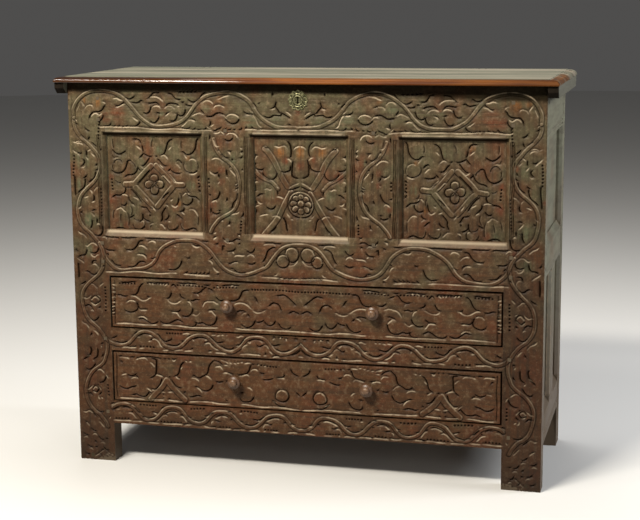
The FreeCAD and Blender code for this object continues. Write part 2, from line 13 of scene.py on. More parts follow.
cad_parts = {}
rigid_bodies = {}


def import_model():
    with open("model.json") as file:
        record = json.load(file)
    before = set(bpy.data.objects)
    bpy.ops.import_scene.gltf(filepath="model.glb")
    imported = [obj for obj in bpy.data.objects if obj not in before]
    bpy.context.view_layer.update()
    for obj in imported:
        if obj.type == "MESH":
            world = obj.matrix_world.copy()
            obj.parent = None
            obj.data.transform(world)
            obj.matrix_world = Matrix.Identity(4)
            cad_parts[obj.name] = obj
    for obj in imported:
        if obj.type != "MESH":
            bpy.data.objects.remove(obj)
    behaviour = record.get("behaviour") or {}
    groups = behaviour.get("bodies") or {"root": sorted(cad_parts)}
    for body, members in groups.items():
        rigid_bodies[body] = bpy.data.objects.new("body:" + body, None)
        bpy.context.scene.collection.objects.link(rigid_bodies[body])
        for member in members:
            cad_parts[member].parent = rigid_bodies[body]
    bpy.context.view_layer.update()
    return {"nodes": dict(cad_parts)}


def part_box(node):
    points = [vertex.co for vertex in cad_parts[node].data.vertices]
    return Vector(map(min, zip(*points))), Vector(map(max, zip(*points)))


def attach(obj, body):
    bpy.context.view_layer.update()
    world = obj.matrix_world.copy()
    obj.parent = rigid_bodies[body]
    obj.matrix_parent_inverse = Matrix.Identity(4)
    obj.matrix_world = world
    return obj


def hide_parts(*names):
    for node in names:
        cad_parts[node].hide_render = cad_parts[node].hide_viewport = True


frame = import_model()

scene = bpy.context.scene
scene.view_settings.view_transform = "Standard"

# %% [markdown]
# ## The camera
# The chest was photographed with a long lens from a little above its lid and to its right. The place and
# the three turns of the camera were found by matching the corners of the case, so the same numbers also
# let a carved line that is sketched in picture points be laid back on to its board.

# %% Camera
PICTURE_WIDTH = 640
PICTURE_HEIGHT = 520
FOCAL_PIXELS = 1480.72
CAMERA_PLACE = Vector((0.91445, -3.55721, 1.16271))
CAMERA_YAW = 0.2527295
CAMERA_PITCH = 0.1794450
CAMERA_ROLL = 0.0078870
SENSOR = 36.0


def camera_axes():
    """Unit vectors to the right, down and forward in the picture."""
    level = math.cos(CAMERA_PITCH)
    forward = Vector((-math.sin(CAMERA_YAW) * level, math.cos(CAMERA_YAW) * level, -math.sin(CAMERA_PITCH)))
    right = Vector((math.cos(CAMERA_YAW), math.sin(CAMERA_YAW), 0))
    down = forward.cross(right)
    c, s = math.cos(CAMERA_ROLL), math.sin(CAMERA_ROLL)
    return c * right + s * down, c * down - s * right, forward


RIGHT, DOWN, FORWARD = camera_axes()
lens = bpy.data.cameras.new("photo_camera")
lens.sensor_fit = "HORIZONTAL"
lens.sensor_width = SENSOR
lens.lens = FOCAL_PIXELS * SENSOR / PICTURE_WIDTH
camera = bpy.data.objects.new("photo_camera", lens)
turn = Matrix((RIGHT, -DOWN, -FORWARD)).transposed().to_4x4()
camera.matrix_world = Matrix.Translation(CAMERA_PLACE) @ turn
scene.collection.objects.link(camera)
scene.camera = camera
print("lens", round(lens.lens, 1), "mm")

# %% [markdown]
# ## Floor and light
# A wide pale floor carries the shadow. The key lamp stands high in front and to the left, so the lid shades
# the top of the front and every carved edge has a light and a dark side. A narrow lamp draws the shine along
# the rounded edge of the lid, two lamps on the right keep the end of the chest readable, one above lights the
# flat of the lid, and a pale world fills the rest. A table of lamps and one function keep them easy to tune.

# %% Floor and lamps
def deselect():
    """Nothing selected and no edit mode, so that the next operator only sees its own piece."""
    if bpy.context.mode != "OBJECT":
        bpy.ops.object.mode_set(mode="OBJECT")
    bpy.ops.object.select_all(action="DESELECT")


def lamp(name, place, aim, width, height, watts, colour):
    """A soft lamp that points at a place on the chest."""
    data = bpy.data.lights.new(name, "AREA")
    data.shape = "RECTANGLE"
    data.size = width
    data.size_y = height
    data.energy = watts
    data.color = colour
    item = bpy.data.objects.new(name, data)
    item.location = place
    item.rotation_euler = (Vector(aim) - Vector(place)).to_track_quat("-Z", "Y").to_euler()
    scene.collection.objects.link(item)


FLOOR_RADIUS = 14.0
FLOOR_SIDES = 96
WORLD_COLOUR = (0.86, 0.84, 0.82, 1)
WORLD_STRENGTH = 0.09
LAMPS = {
    "key_lamp": ((-0.95, -2.6, 3.25), (-0.1, -0.2, 0.66), 1.2, 0.35, 200, (1.0, 0.93, 0.81)),
    "edge_lamp": ((-1.85, -2.1, 3.9), (-0.35, -0.24, 0.95), 1.2, 0.07, 34, (1.0, 0.95, 0.88)),
    "side_lamp": ((3.0, 0.3, 1.9), (0.55, 0, 0.6), 1.2, 1.2, 68, (0.97, 0.98, 1.0)),
    "end_lamp": ((2.3, -3.0, 1.3), (0.58, 0.1, 0.5), 0.8, 1.2, 15, (1.0, 0.97, 0.93)),
    "top_lamp": ((-0.3, 0.8, 3.4), (0, 0, 0.9), 1.6, 1.6, 45, (1.0, 0.98, 0.95)),
}
deselect()
bpy.ops.mesh.primitive_circle_add(vertices=FLOOR_SIDES, radius=FLOOR_RADIUS, fill_type="NGON")
floor = bpy.context.object
floor.name = "studio_floor"
for name, settings in LAMPS.items():
    lamp(name, *settings)
world = bpy.data.worlds.new("studio_world")
world.use_nodes = True
world.node_tree.nodes["Background"].inputs["Color"].default_value = WORLD_COLOUR
world.node_tree.nodes["Background"].inputs["Strength"].default_value = WORLD_STRENGTH
scene.world = world

# %% [markdown]
# ## Finishes
# The chest was painted grey-green over oak, and centuries of hands have rubbed the paint off every raised
# edge and left dirt in every hollow; the finishes below add painted highlights on edges that face the light
# and painted shade in hollows, under the lid and low down. A small helper keeps the shader trees short: it
# adds one node, sets the sockets that hold a number or a colour, and links the sockets that are given another
# node's output.

# %% Shader helper
def fill(tree, node, sockets):
    """Link the sockets that are given another node's output, and set the others."""
    for name, value in sockets.items():
        socket = node.inputs[name]
        if isinstance(value, bpy.types.NodeSocket):
            tree.links.new(value, socket)
        else:
            socket.default_value = (*value, 1) if socket.type == "RGBA" else value


def shade(tree, kind, sockets=None, **settings):
    """One shader node with its settings, its plain sockets filled and its other sockets linked."""
    node = tree.nodes.new("ShaderNode" + kind)
    for name, value in settings.items():
        setattr(node, name, value)
    fill(tree, node, sockets or {})
    return node


def ramp(tree, value, stops):
    """A colour ramp over a value; each stop is a place from 0 to 1 and a colour or a grey."""
    node = shade(tree, "ValToRGB", {"Fac": value})
    elements = node.color_ramp.elements
    while len(elements) < len(stops):
        elements.new(0.5)
    for element, (place, colour) in zip(elements, stops):
        element.position = place
        element.color = (*colour, 1) if isinstance(colour, tuple) else (colour, colour, colour, 1)
    return node.outputs["Color"]


def mix(tree, amount, first, second, blend="MIX"):
    """Two colours mixed by an amount that is a number or a socket."""
    sockets = {0: amount, 6: first, 7: second}
    return shade(tree, "Mix", sockets, data_type="RGBA", blend_type=blend).outputs[2]


def noise(tree, scale, detail=4.0, stretch=(1, 1, 1), rough=0.55):
    """Noise on the piece's own coordinates, stretched along the grain where a stretch is given."""
    place = shade(tree, "TexCoord").outputs["Object"]
    mapped = shade(tree, "Mapping", {"Vector": place, "Scale": stretch}).outputs["Vector"]
    sockets = {"Vector": mapped, "Scale": scale, "Detail": detail, "Roughness": rough}
    return shade(tree, "TexNoise", sockets).outputs["Fac"]


def attribute(tree, name):
    """A value that the carving left on each point of the mesh."""
    return shade(tree, "Attribute", attribute_name=name).outputs["Fac"]


def finish(name, build):
    """A material whose tree is filled by the build function, which returns the surface's sockets."""
    material = bpy.data.materials.new(name)
    material.use_nodes = True
    tree = material.node_tree
    fill(tree, tree.nodes["Principled BSDF"], build(tree))
    return material


def relief(tree, height, distance):
    """A bump from a height, for texture too fine to model."""
    sockets = {"Height": height, "Distance": distance, "Strength": 1.0}
    return shade(tree, "Bump", sockets).outputs["Normal"]


def fade(tree, value, start, end, first=0.0, last=1.0):
    """A number that runs from first to last while the value runs from start to end."""
    return shade(tree, "MapRange", {"Value": value, 1: start, 2: end, 3: first, 4: last}).outputs[0]


def combine(tree, operation, first, second=0.0):
    """Two values combined by one operation."""
    return shade(tree, "Math", {0: first, 1: second}, operation=operation).outputs[0]


def place_on(tree):
    """The X, Y and Z of a point on the piece."""
    return shade(tree, "SeparateXYZ", {0: shade(tree, "TexCoord").outputs["Object"]}).outputs


print("shader helpers ready")

# %% [markdown]
# ### Paint on the carved front
# The carving writes values on its points: how worn and how lit an edge is, how much dirt and painted shadow
# lie in a hollow, how deep the ground lies, and where brown paint and touches of red, ochre and green are.
# The shader lays grey-green over brown by broad noise, adds the touches, darkens the hollows and the sunk
# ground with dirt and painted shade, bares pale wood with a painted highlight on the worn and lit edges, and
# paints shade towards the bottom and the right of the front, with the grain drawn along the board. An image
# of the paint could do this too, but it would have to be kept with the file.

# %% Carved paint
GRAIN_STRETCH = {"x": (6.0, 40.0, 150.0), "z": (150.0, 40.0, 6.0)}
RUN_SHARE = 0.45
GREEN = (0.073, 0.061, 0.030), (0.126, 0.106, 0.055)
BROWN = (0.072, 0.031, 0.012), (0.130, 0.057, 0.022)
RED = (0.100, 0.028, 0.012), (0.180, 0.060, 0.024)
BARE = (0.430, 0.335, 0.215), (0.590, 0.490, 0.350)
FRESH_GREEN = (0.112, 0.118, 0.062)
OCHRE = (0.250, 0.100, 0.026)
DARK_STREAK = (0.045, 0.028, 0.014)
PALE_FLECK = (0.280, 0.210, 0.125)
DARK_MOTTLE = (0.040, 0.022, 0.011)
PALE_MOTTLE = (0.270, 0.190, 0.115)
GROUND_DIRT_AND_SHADE = (0.026, 0.014, 0.007)
GROUND_SHARE = 0.75
HOLLOW_DIRT_AND_SHADE = (0.007, 0.004, 0.002)
LOW_SHADE_TINT = (0.20, 0.16, 0.14)
LOW_SPAN = (0.80, 0.45)
LOW_SHADE = {"x": 0.21, "z": 0.46}
RIGHT_SHADE_TINT = (0.20, 0.18, 0.17)
RIGHT_SPAN = (0.05, 0.60)
RIGHT_SHADE = 0.25
GRIME = (0.020, 0.013, 0.008)
GRIME_SPAN = (0.15, 0.0)
GRIME_SHARE = 0.6
CARVED_SHINE = 0.2


def carved_paint(tree, grain):
    """Worn grey-green paint over oak; the grain runs along X or along Z."""
    stretch = GRAIN_STRETCH[grain]
    streaks = noise(tree, 1.0, 5.0, stretch, 0.6)
    runs = noise(tree, 1.0, 4.0, tuple(RUN_SHARE * v for v in stretch), 0.6)
    patch = noise(tree, 26.0, 4.0)
    fleck = noise(tree, 240.0, 3.0)
    mottle = noise(tree, 75.0, 5.0, (1, 1, 1), 0.65)
    rusty = noise(tree, 11.0, 3.0, (1.3, 1.0, 0.8))
    red = mix(tree, patch, *RED)
    paint = mix(tree, attribute(tree, "brown"), mix(tree, patch, *GREEN), mix(tree, patch, *BROWN))
    paint = mix(tree, ramp(tree, rusty, [(0.52, 0.0), (0.68, 0.6)]), paint, red)
    broken = ramp(tree, runs, [(0.38, 0.15), (0.58, 1.0)])
    for name, colour in (("green", FRESH_GREEN), ("red", red), ("ochre", OCHRE)):
        paint = mix(tree, combine(tree, "MULTIPLY", attribute(tree, name), broken), paint, colour)
    paint = mix(tree, ramp(tree, streaks, [(0.35, 0.6), (0.55, 0.0)]), paint, DARK_STREAK)
    paint = mix(tree, ramp(tree, fleck, [(0.60, 0.0), (0.72, 0.4)]), paint, PALE_FLECK)
    paint = mix(tree, ramp(tree, mottle, [(0.36, 0.45), (0.50, 0.0)]), paint, DARK_MOTTLE)
    paint = mix(tree, ramp(tree, mottle, [(0.54, 0.0), (0.68, 0.4)]), paint, PALE_MOTTLE)
    # Dirt and painted shade on the sunk ground, darker the deeper it lies.
    paint = mix(tree, attribute(tree, "ground"), paint, mix(tree, GROUND_SHARE, paint, GROUND_DIRT_AND_SHADE))
    # Dirt and painted shadow in the hollows.
    paint = mix(tree, attribute(tree, "hollow"), paint, HOLLOW_DIRT_AND_SHADE)
    # Pale wood on worn edges, with a painted highlight on the edges that face the light.
    colour = mix(tree, attribute(tree, "wear_and_highlight"), paint, mix(tree, patch, *BARE))
    place = place_on(tree)
    # Painted shade: the paint is darkened towards the bottom of the front.
    low = fade(tree, place["Z"], *LOW_SPAN, 0.0, LOW_SHADE[grain])
    colour = mix(tree, low, colour, LOW_SHADE_TINT, "MULTIPLY")
    # Painted shade: the paint is darkened towards the right of the front, away from the key lamp.
    right = fade(tree, place["X"], *RIGHT_SPAN, 0.0, RIGHT_SHADE)
    colour = mix(tree, right, colour, RIGHT_SHADE_TINT, "MULTIPLY")
    colour = mix(tree, fade(tree, place["Z"], *GRIME_SPAN, 0.0, GRIME_SHARE), colour, GRIME)
    shine = fade(tree, attribute(tree, "hollow"), 0.0, 1.0, CARVED_SHINE, 0.0)
    bumps = relief(tree, mix(tree, 0.5, streaks, mottle), 0.002)
    return {"Base Color": colour, "Roughness": 0.55, "Normal": bumps, "Specular IOR Level": shine}


carved_x = finish("carved_oak_across", lambda tree: carved_paint(tree, "x"))
carved_z = finish("carved_oak_upright", lambda tree: carved_paint(tree, "z"))
print("carved finishes:", carved_x.name, carved_z.name)

# %% [markdown]
# ### Paint on the ends and the cleats
# The ends have the same paint without carving, so their wear comes from noise alone. Low down the paint is
# rubbed to brown, and under the lid a painted shadow darkens it. The cleats are darker, and their cut ends
# are painted black as painted shade.

# %% Paint on plain boards
SIDE_GREEN = (0.128, 0.127, 0.083), (0.172, 0.168, 0.116)
SIDE_BROWN = (0.130, 0.085, 0.048)
SIDE_STREAK = (0.060, 0.048, 0.031)
RUBBED_LOW = (0.086, 0.056, 0.031)
RUBBED_SPAN = (0.62, 0.20, 0.0, 0.95)
LID_SHADOW_ON_ENDS = (0.016, 0.013, 0.009)
LID_SHADOW_ON_ENDS_SPAN = (0.895, 0.922, 0.0, 0.85)
CLEAT_PAINT = (0.062, 0.059, 0.041), (0.112, 0.108, 0.078)
CLEAT_END_SHADE = (0.007, 0.005, 0.003), (0.017, 0.012, 0.008)
PEG_PAINT = (0.055, 0.040, 0.022), (0.105, 0.076, 0.042)
ARRIS_PAINT = (0.140, 0.128, 0.090), (0.255, 0.195, 0.125)


def plain_paint(tree):
    """Grey-green paint on the flat boards of the ends, thin enough to show the grain."""
    streaks = noise(tree, 1.0, 5.0, (70, 8, 70), 0.6)
    broad = noise(tree, 5.0, 4.0)
    green = mix(tree, noise(tree, 40.0, 4.0), *SIDE_GREEN)
    paint = mix(tree, ramp(tree, broad, [(0.50, 0.0), (0.70, 0.8)]), green, SIDE_BROWN)
    colour = mix(tree, ramp(tree, streaks, [(0.38, 0.45), (0.54, 0.0)]), paint, SIDE_STREAK)
    height = place_on(tree)["Z"]
    colour = mix(tree, fade(tree, height, *RUBBED_SPAN), colour, RUBBED_LOW)
    # Painted shadow of the lid and its cleats on the top of the ends.
    colour = mix(tree, fade(tree, height, *LID_SHADOW_ON_ENDS_SPAN), colour, LID_SHADOW_ON_ENDS)
    return {"Base Color": colour, "Roughness": 0.6, "Normal": relief(tree, streaks, 0.0005)}


def cleat_paint(tree):
    """The paint of the ends on the long faces of a cleat."""
    streaks = noise(tree, 1.0, 5.0, (60, 8, 60), 0.6)
    return {"Base Color": mix(tree, streaks, *CLEAT_PAINT), "Roughness": 0.7}


def shaded_cleat_end(tree):
    """The cut end of a cleat, painted black as painted shade."""
    colour = mix(tree, noise(tree, 120.0, 4.0), *CLEAT_END_SHADE)
    return {"Base Color": colour, "Roughness": 0.9, "Specular IOR Level": 0.1}


def peg_paint(tree):
    """The old paint over the heads of the pegs."""
    return {"Base Color": mix(tree, noise(tree, 60.0, 3.0), *PEG_PAINT), "Roughness": 0.7}


def worn_arris(tree):
    """The rubbed edge of a painted board, where the wood shows through."""
    broken = ramp(tree, noise(tree, 60.0, 4.0), [(0.40, 0.0), (0.56, 1.0)])
    return {"Base Color": mix(tree, broken, *ARRIS_PAINT), "Roughness": 0.5}


side_paint = finish("painted_oak", plain_paint)
cleat_finish = finish("cleat_paint", cleat_paint)
cleat_end_shade_finish = finish("shaded_cleat_end", shaded_cleat_end)
peg_finish = finish("peg_paint", peg_paint)
arris_finish = finish("worn_arris", worn_arris)
print("painted finishes:", len(bpy.data.materials))

# %% [markdown]
# ### Bare wood and metal
# Inside, nothing was ever painted. The iron is blackened, the plate is old brass that has gone dark between
# its rings, and the knobs are dark and waxed, pale where fingers have rubbed the crown. One function gives
# both woods, as only their colours differ.

# %% Bare wood, iron and brass
OAK = (0.090, 0.050, 0.025), (0.200, 0.120, 0.062)
PINE = (0.180, 0.110, 0.056), (0.330, 0.220, 0.120)
STAIN_SHARE = 0.6
IRON = (0.030, 0.028, 0.026), (0.090, 0.070, 0.055)
BRASS = (0.095, 0.092, 0.040), (0.300, 0.285, 0.150)
BRASS_PATINA_AND_HOLE_SHADE = (0.010, 0.009, 0.004)
KNOB_BROWN = (0.050, 0.024, 0.011), (0.130, 0.062, 0.028)
KNOB_RUBBED = (0.250, 0.150, 0.085)


def bare_wood(tree, dark, light):
    """Unpainted old wood with its grain along the length of the case."""
    streaks = noise(tree, 1.0, 6.0, (5, 60, 90), 0.62)
    stain = ramp(tree, noise(tree, 3.0, 3.0), [(0.40, 0.35), (0.65, 0.0)])
    colour = mix(tree, ramp(tree, streaks, [(0.35, 0.0), (0.65, 1.0)]), dark, light)
    colour = mix(tree, stain, colour, tuple(STAIN_SHARE * v for v in dark))
    return {"Base Color": colour, "Roughness": 0.7, "Normal": relief(tree, streaks, 0.0004)}


def black_iron(tree):
    """Forged iron, blackened and dull."""
    scale = noise(tree, 160.0, 5.0)
    bumps = relief(tree, scale, 0.0004)
    return {"Base Color": mix(tree, scale, *IRON), "Metallic": 0.8, "Roughness": 0.55, "Normal": bumps}


def old_brass(tree):
    """Brass gone green and brown in its hollows, and black in its holes as painted shade."""
    patina = noise(tree, 220.0, 4.0)
    hollow = attribute(tree, "hollow")
    colour = mix(tree, ramp(tree, patina, [(0.40, 0.0), (0.62, 1.0)]), *BRASS)
    return {
        "Base Color": mix(tree, hollow, colour, BRASS_PATINA_AND_HOLE_SHADE),
        "Metallic": fade(tree, hollow, 0.0, 1.0, 0.75, 0.0),
        "Roughness": 0.42,
        "Specular IOR Level": fade(tree, hollow, 0.0, 1.0, 0.5, 0.0),
        "Normal": relief(tree, patina, 0.0002),
    }


def waxed_wood(tree):
    """Dark turned wood with a worn wax shine, pale where fingers have rubbed the crown."""
    streaks = noise(tree, 1.0, 5.0, (200, 30, 200), 0.6)
    rubbed = ramp(tree, noise(tree, 130.0, 3.0), [(0.42, 0.1), (0.62, 0.75)])
    amount = combine(tree, "MULTIPLY", attribute(tree, "wear_and_highlight"), rubbed)
    colour = mix(tree, amount, mix(tree, streaks, *KNOB_BROWN), KNOB_RUBBED)
    return {"Base Color": colour, "Roughness": 0.42, "Coat Weight": 0.08, "Coat Roughness": 0.3}


case_wood = finish("plain_oak", lambda tree: bare_wood(tree, *OAK))
drawer_wood = finish("drawer_pine", lambda tree: bare_wood(tree, *PINE))
iron = finish("black_iron", black_iron)
brass = finish("old_brass", old_brass)
knob_wood = finish("waxed_wood", waxed_wood)
print("wood and metal:", [item.name for item in (case_wood, drawer_wood, iron, brass, knob_wood)])

# %% [markdown]
# ### Paint on the lid
# The flat of the lid is pale, with long streaks and bands along the board. Its rounded front edge is rubbed
# through to red-brown wood, painted darker towards both ends as painted shade, and still waxed at the left.
# The bare parts are found by their place on the board, so that no edge has to be painted by hand.

# %% Lid paint
LID_FLAT = (0.126, 0.123, 0.086), (0.192, 0.192, 0.140)
LID_STREAK = (0.090, 0.075, 0.045)
LID_PALE_BAND = (0.270, 0.238, 0.182)
LID_DARK_BAND = (0.085, 0.090, 0.066)
NOSE_WOOD = (0.100, 0.026, 0.004), (0.270, 0.090, 0.012)
NOSE_PAINTED_SHADE = (0.022, 0.007, 0.002)
NOSE_SPAN = (-0.6, 0.6)
NOSE_SHADES = [(0.0, 0.85), (0.28, 0.75), (0.45, 0.0), (0.62, 0.15), (1.0, 0.6)]
NOSE_WORN = 0.0235
LID_WORN_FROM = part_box("lid_board")[0].y + NOSE_WORN
LID_WORN_FADE = 0.003
LID_END_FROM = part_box("lid_board")[1].x - NOSE_WORN
LID_END_FADE = 0.004
WAXED_TO = -0.28
WAXED_FADE = 0.16


def lid_paint(tree):
    """Pale paint on the flat of the lid, rubbed through to the wood on the nose and in places at the ends."""
    place = place_on(tree)
    streaks = noise(tree, 1.0, 6.0, (3, 70, 70), 0.62)
    bands = noise(tree, 1.0, 4.0, (1.6, 20, 20), 0.6)
    flat = mix(tree, noise(tree, 14.0, 4.0), *LID_FLAT)
    flat = mix(tree, ramp(tree, streaks, [(0.36, 0.6), (0.52, 0.0)]), flat, LID_STREAK)
    flat = mix(tree, ramp(tree, bands, [(0.50, 0.0), (0.64, 0.9)]), flat, LID_PALE_BAND)
    flat = mix(tree, ramp(tree, bands, [(0.35, 0.9), (0.47, 0.0)]), flat, LID_DARK_BAND)
    wood = mix(tree, ramp(tree, streaks, [(0.38, 0.0), (0.62, 1.0)]), *NOSE_WOOD)
    # Painted shade: the bare nose is darkened towards both ends of the lid.
    wood = mix(tree, ramp(tree, fade(tree, place["X"], *NOSE_SPAN), NOSE_SHADES), wood, NOSE_PAINTED_SHADE)
    front = fade(tree, place["Y"], LID_WORN_FROM, LID_WORN_FROM - LID_WORN_FADE)
    away = combine(tree, "ABSOLUTE", place["X"])
    end = fade(tree, away, LID_END_FROM, LID_END_FROM + LID_END_FADE)
    rubbed = ramp(tree, noise(tree, 9.0, 3.0), [(0.45, 0.1), (0.62, 0.9)])
    bare = combine(tree, "MAXIMUM", front, combine(tree, "MULTIPLY", end, rubbed))
    left = fade(tree, place["X"], WAXED_TO, WAXED_TO + WAXED_FADE, 1.0, 0.0)
    waxed = combine(tree, "MULTIPLY", bare, left)
    return {
        "Base Color": mix(tree, bare, flat, wood),
        "Roughness": fade(tree, waxed, 0.0, 1.0, 0.5, 0.2),
        "Specular IOR Level": fade(tree, bare, 0.0, 1.0, 0.45, 0.1),
        "Coat Weight": fade(tree, waxed, 0.0, 1.0),
        "Coat Roughness": 0.12,
        "Normal": relief(tree, streaks, 0.0004),
    }


lid_finish = finish("lid_paint", lid_paint)
print("finishes:", len(bpy.data.materials))

# %% [markdown]
# ## Carving tools
# The carver worked flat: a line is sunk with a V tool, a vine is two such lines side by side, and a row of
# small chips edges each leaf. A board is therefore a fine grid whose points are pushed back by the depth
# of the nearest cut. A line is sketched with a few points, and a smooth curve is drawn through them.

# %% Lines and distances
MM = 0.001
CELL = 1.25
FACE_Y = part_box("front_top_rail")[0].y
PANEL_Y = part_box("front_panel_left")[0].y


def points_of(text):
    """The strokes in a sketch, parted by slashes: each is a row of x,y points in the picture."""
    strokes = [stroke.split() for stroke in text.split("/") if stroke.strip()]
    return [np.array([[float(v) for v in point.split(",")] for point in stroke]) for stroke in strokes]


def on_board(points, face_y):
    """Picture points laid on an upright plane, as x and z in millimetres."""
    laid = []
    for px, py in points:
        across, below = px - PICTURE_WIDTH / 2, py - PICTURE_HEIGHT / 2
        ray = FORWARD * FOCAL_PIXELS + RIGHT * across + DOWN * below
        spot = CAMERA_PLACE + ray * ((face_y - CAMERA_PLACE.y) / ray.y)
        laid.append((spot.x / MM, spot.z / MM))
    return np.array(laid)


def smooth(points, samples=5):
    """A smooth curve that runs through the points."""
    if len(points) < 3:
        return points
    padded = np.vstack([2 * points[0] - points[1], points, 2 * points[-1] - points[-2]])
    curve = []
    for a, b, c, d in zip(padded, padded[1:], padded[2:], padded[3:]):
        for t in np.arange(samples) / samples:
            curve.append(0.5 * (2 * b + (c - a) * t + (2 * a - 5 * b + 4 * c - d) * t**2
                                + (3 * b - a - 3 * c + d) * t**3))
    return np.array(curve + [points[-1]])


def distance_along(x, z, line):
    """For each point: its distance to a line, how far along that is, its side, and the way to it."""
    nearest = np.full(x.shape, 1e9)
    along, side, way_x, way_z = (np.zeros(x.shape) for _ in range(4))
    start = 0.0
    for a, b in zip(line, line[1:]):
        step = b - a
        length = max(float(np.hypot(*step)), 1e-6)
        off_x, off_z = x - a[0], z - a[1]
        t = np.clip((off_x * step[0] + off_z * step[1]) / length**2, 0, 1)
        to_x, to_z = off_x - t * step[0], off_z - t * step[1]
        gap = np.hypot(to_x, to_z)
        closer = gap < nearest
        nearest[closer] = gap[closer]
        along[closer] = start + t[closer] * length
        side[closer] = np.sign(step[0] * off_z - step[1] * off_x)[closer]
        way_x[closer] = (to_x / np.maximum(gap, 1e-6))[closer]
        way_z[closer] = (to_z / np.maximum(gap, 1e-6))[closer]
        start += length
    return nearest, along, start, side, (way_x, way_z)


def leaf_side(line, kind):
    """The side of a stroke's leaf: above a dark edge, below a light one, inside any other curve."""
    steps = np.diff(line, axis=0)
    chord = line[-1] - line[0]
    if kind == "curve" or np.hypot(*chord) < CLOSED * np.hypot(*steps.T).sum():
        headings = np.unwrap(np.arctan2(steps[:, 1], steps[:, 0]))
        turning = headings[-1] - headings[0]
        return np.sign(turning) if abs(turning) > STRAIGHT else 1.0
    faces_up = chord[1] * LIGHT_FROM_X - chord[0] * LIGHT_FROM_Z
    return np.sign(faces_up) if kind == "light" else -np.sign(faces_up)


print("carving plane", FACE_Y, "panel plane", PANEL_Y)

# %% [markdown]
# ## Cutting depth
# Each kind of stroke adds its own depth to a board. A cut sets in the edge of a leaf: the leaf stays high
# on the inner side of the curve and its edge is rounded over, while the wood outside dips down to it. A
# vine is a band with such a dip on both sides. Chips are small dents along a row, and a scratch is a narrow
# line. The deepest stroke wins. An edge that faces the light, up and to the left, gets wear and a painted
# highlight, and one that faces away gets dirt and a painted shadow, so a stroke is sketched as dark, soft or
# light where its look is known. Boolean cuts would give the same edges, but hundreds of them on one board
# are slow and break easily.

# %% The edge of a leaf
STRAIGHT = 1.0
CLOSED = 0.2
CUT_DEPTH = 4.4
CUT_REACH = 2.4
DIP_DEPTH = 1.6
DIP_REACH = 10.0
WALL = 1.2
EDGE_ROUND = 1.0
EDGE_REACH = 2.4
PALE_RIM_REACH = 1.7
PALE_RIM_INSET = 0.4
# The way to the light, up and to the left: edges that face it get a painted highlight, edges that face away a
# painted shadow.
LIGHT_FROM_X = -0.40
LIGHT_FROM_Z = 0.92
DARK_BAND_AT = 1.5
DARK_BAND_REACH = 2.4
DARK_BAND_FULL = 1.35
DARK_LOSS_WHEN_LIT = 0.85


def edge_depth(out):
    """Depth across the edge of a leaf: rounded over, a steep wall, then a sharp cut in a broad hollow."""
    rounded = EDGE_ROUND * np.clip(1 + out / EDGE_REACH, 0, 1) ** 2
    beyond = np.maximum(out - WALL, 0)
    cut = CUT_DEPTH * np.exp(-beyond / CUT_REACH) + DIP_DEPTH * np.exp(-beyond / DIP_REACH)
    wall = EDGE_ROUND + (CUT_DEPTH + DIP_DEPTH - EDGE_ROUND) * np.clip(out / WALL, 0, 1)
    return np.where(out < 0, rounded, np.where(out < WALL, wall, cut))


def upward(way, facing=1.0):
    """How far an edge faces the light, up and to the left: the side that faces it gets a painted highlight
    and the other side a painted shadow.
    """
    return 0.5 + 0.5 * facing * (way[0] * LIGHT_FROM_X + way[1] * LIGHT_FROM_Z)


def wear_and_highlight_rim(out, lit):
    """How worn a leaf is along its own edge, just inside the cut, with a painted highlight where the edge
    faces the light.
    """
    return np.clip(1 - np.abs(out + PALE_RIM_INSET * PALE_RIM_REACH) / PALE_RIM_REACH, 0, 1) * lit**2


def dirt_and_shadow_in_cut(out, lit):
    """How much dirt and painted shadow lie in the cut beside a leaf, less where the edge faces the light."""
    return np.clip(DARK_BAND_FULL - DARK_BAND_FULL * np.abs(out - DARK_BAND_AT) / DARK_BAND_REACH, 0, 1) * (1 - DARK_LOSS_WHEN_LIT * lit)


print("cuts", CUT_DEPTH, "mm deep")

# %% Strokes on a board
TINTS = ("red", "ochre", "green")
NEAR_DIPS = 3
VINE_WIDTH = 7.2
VINE_SHARE = 0.42
VINE_DIRT_AND_SHADOW = 0.8
VINE_WEAR_AND_HIGHLIGHT = 0.85
BAND_WIDTH = 12.0
TAPER = 5.0
TAPER_SHARE = 0.45
TIP = 0.3
# How far each kind of stroke faces the light, which sets its painted highlight and painted shadow.
KIND_LIT = {"dark": 0.05, "soft": 0.45, "light": 1.0}
CHIP_RADIUS = 3.0
CHIP_DEPTH = 4.5
CHIP_SWELL = 0.8
SCRATCH_WIDTH = 2.4
SCRATCH_DEPTH = 2.2
SCRATCH_DIRT_AND_SHADE = 0.8


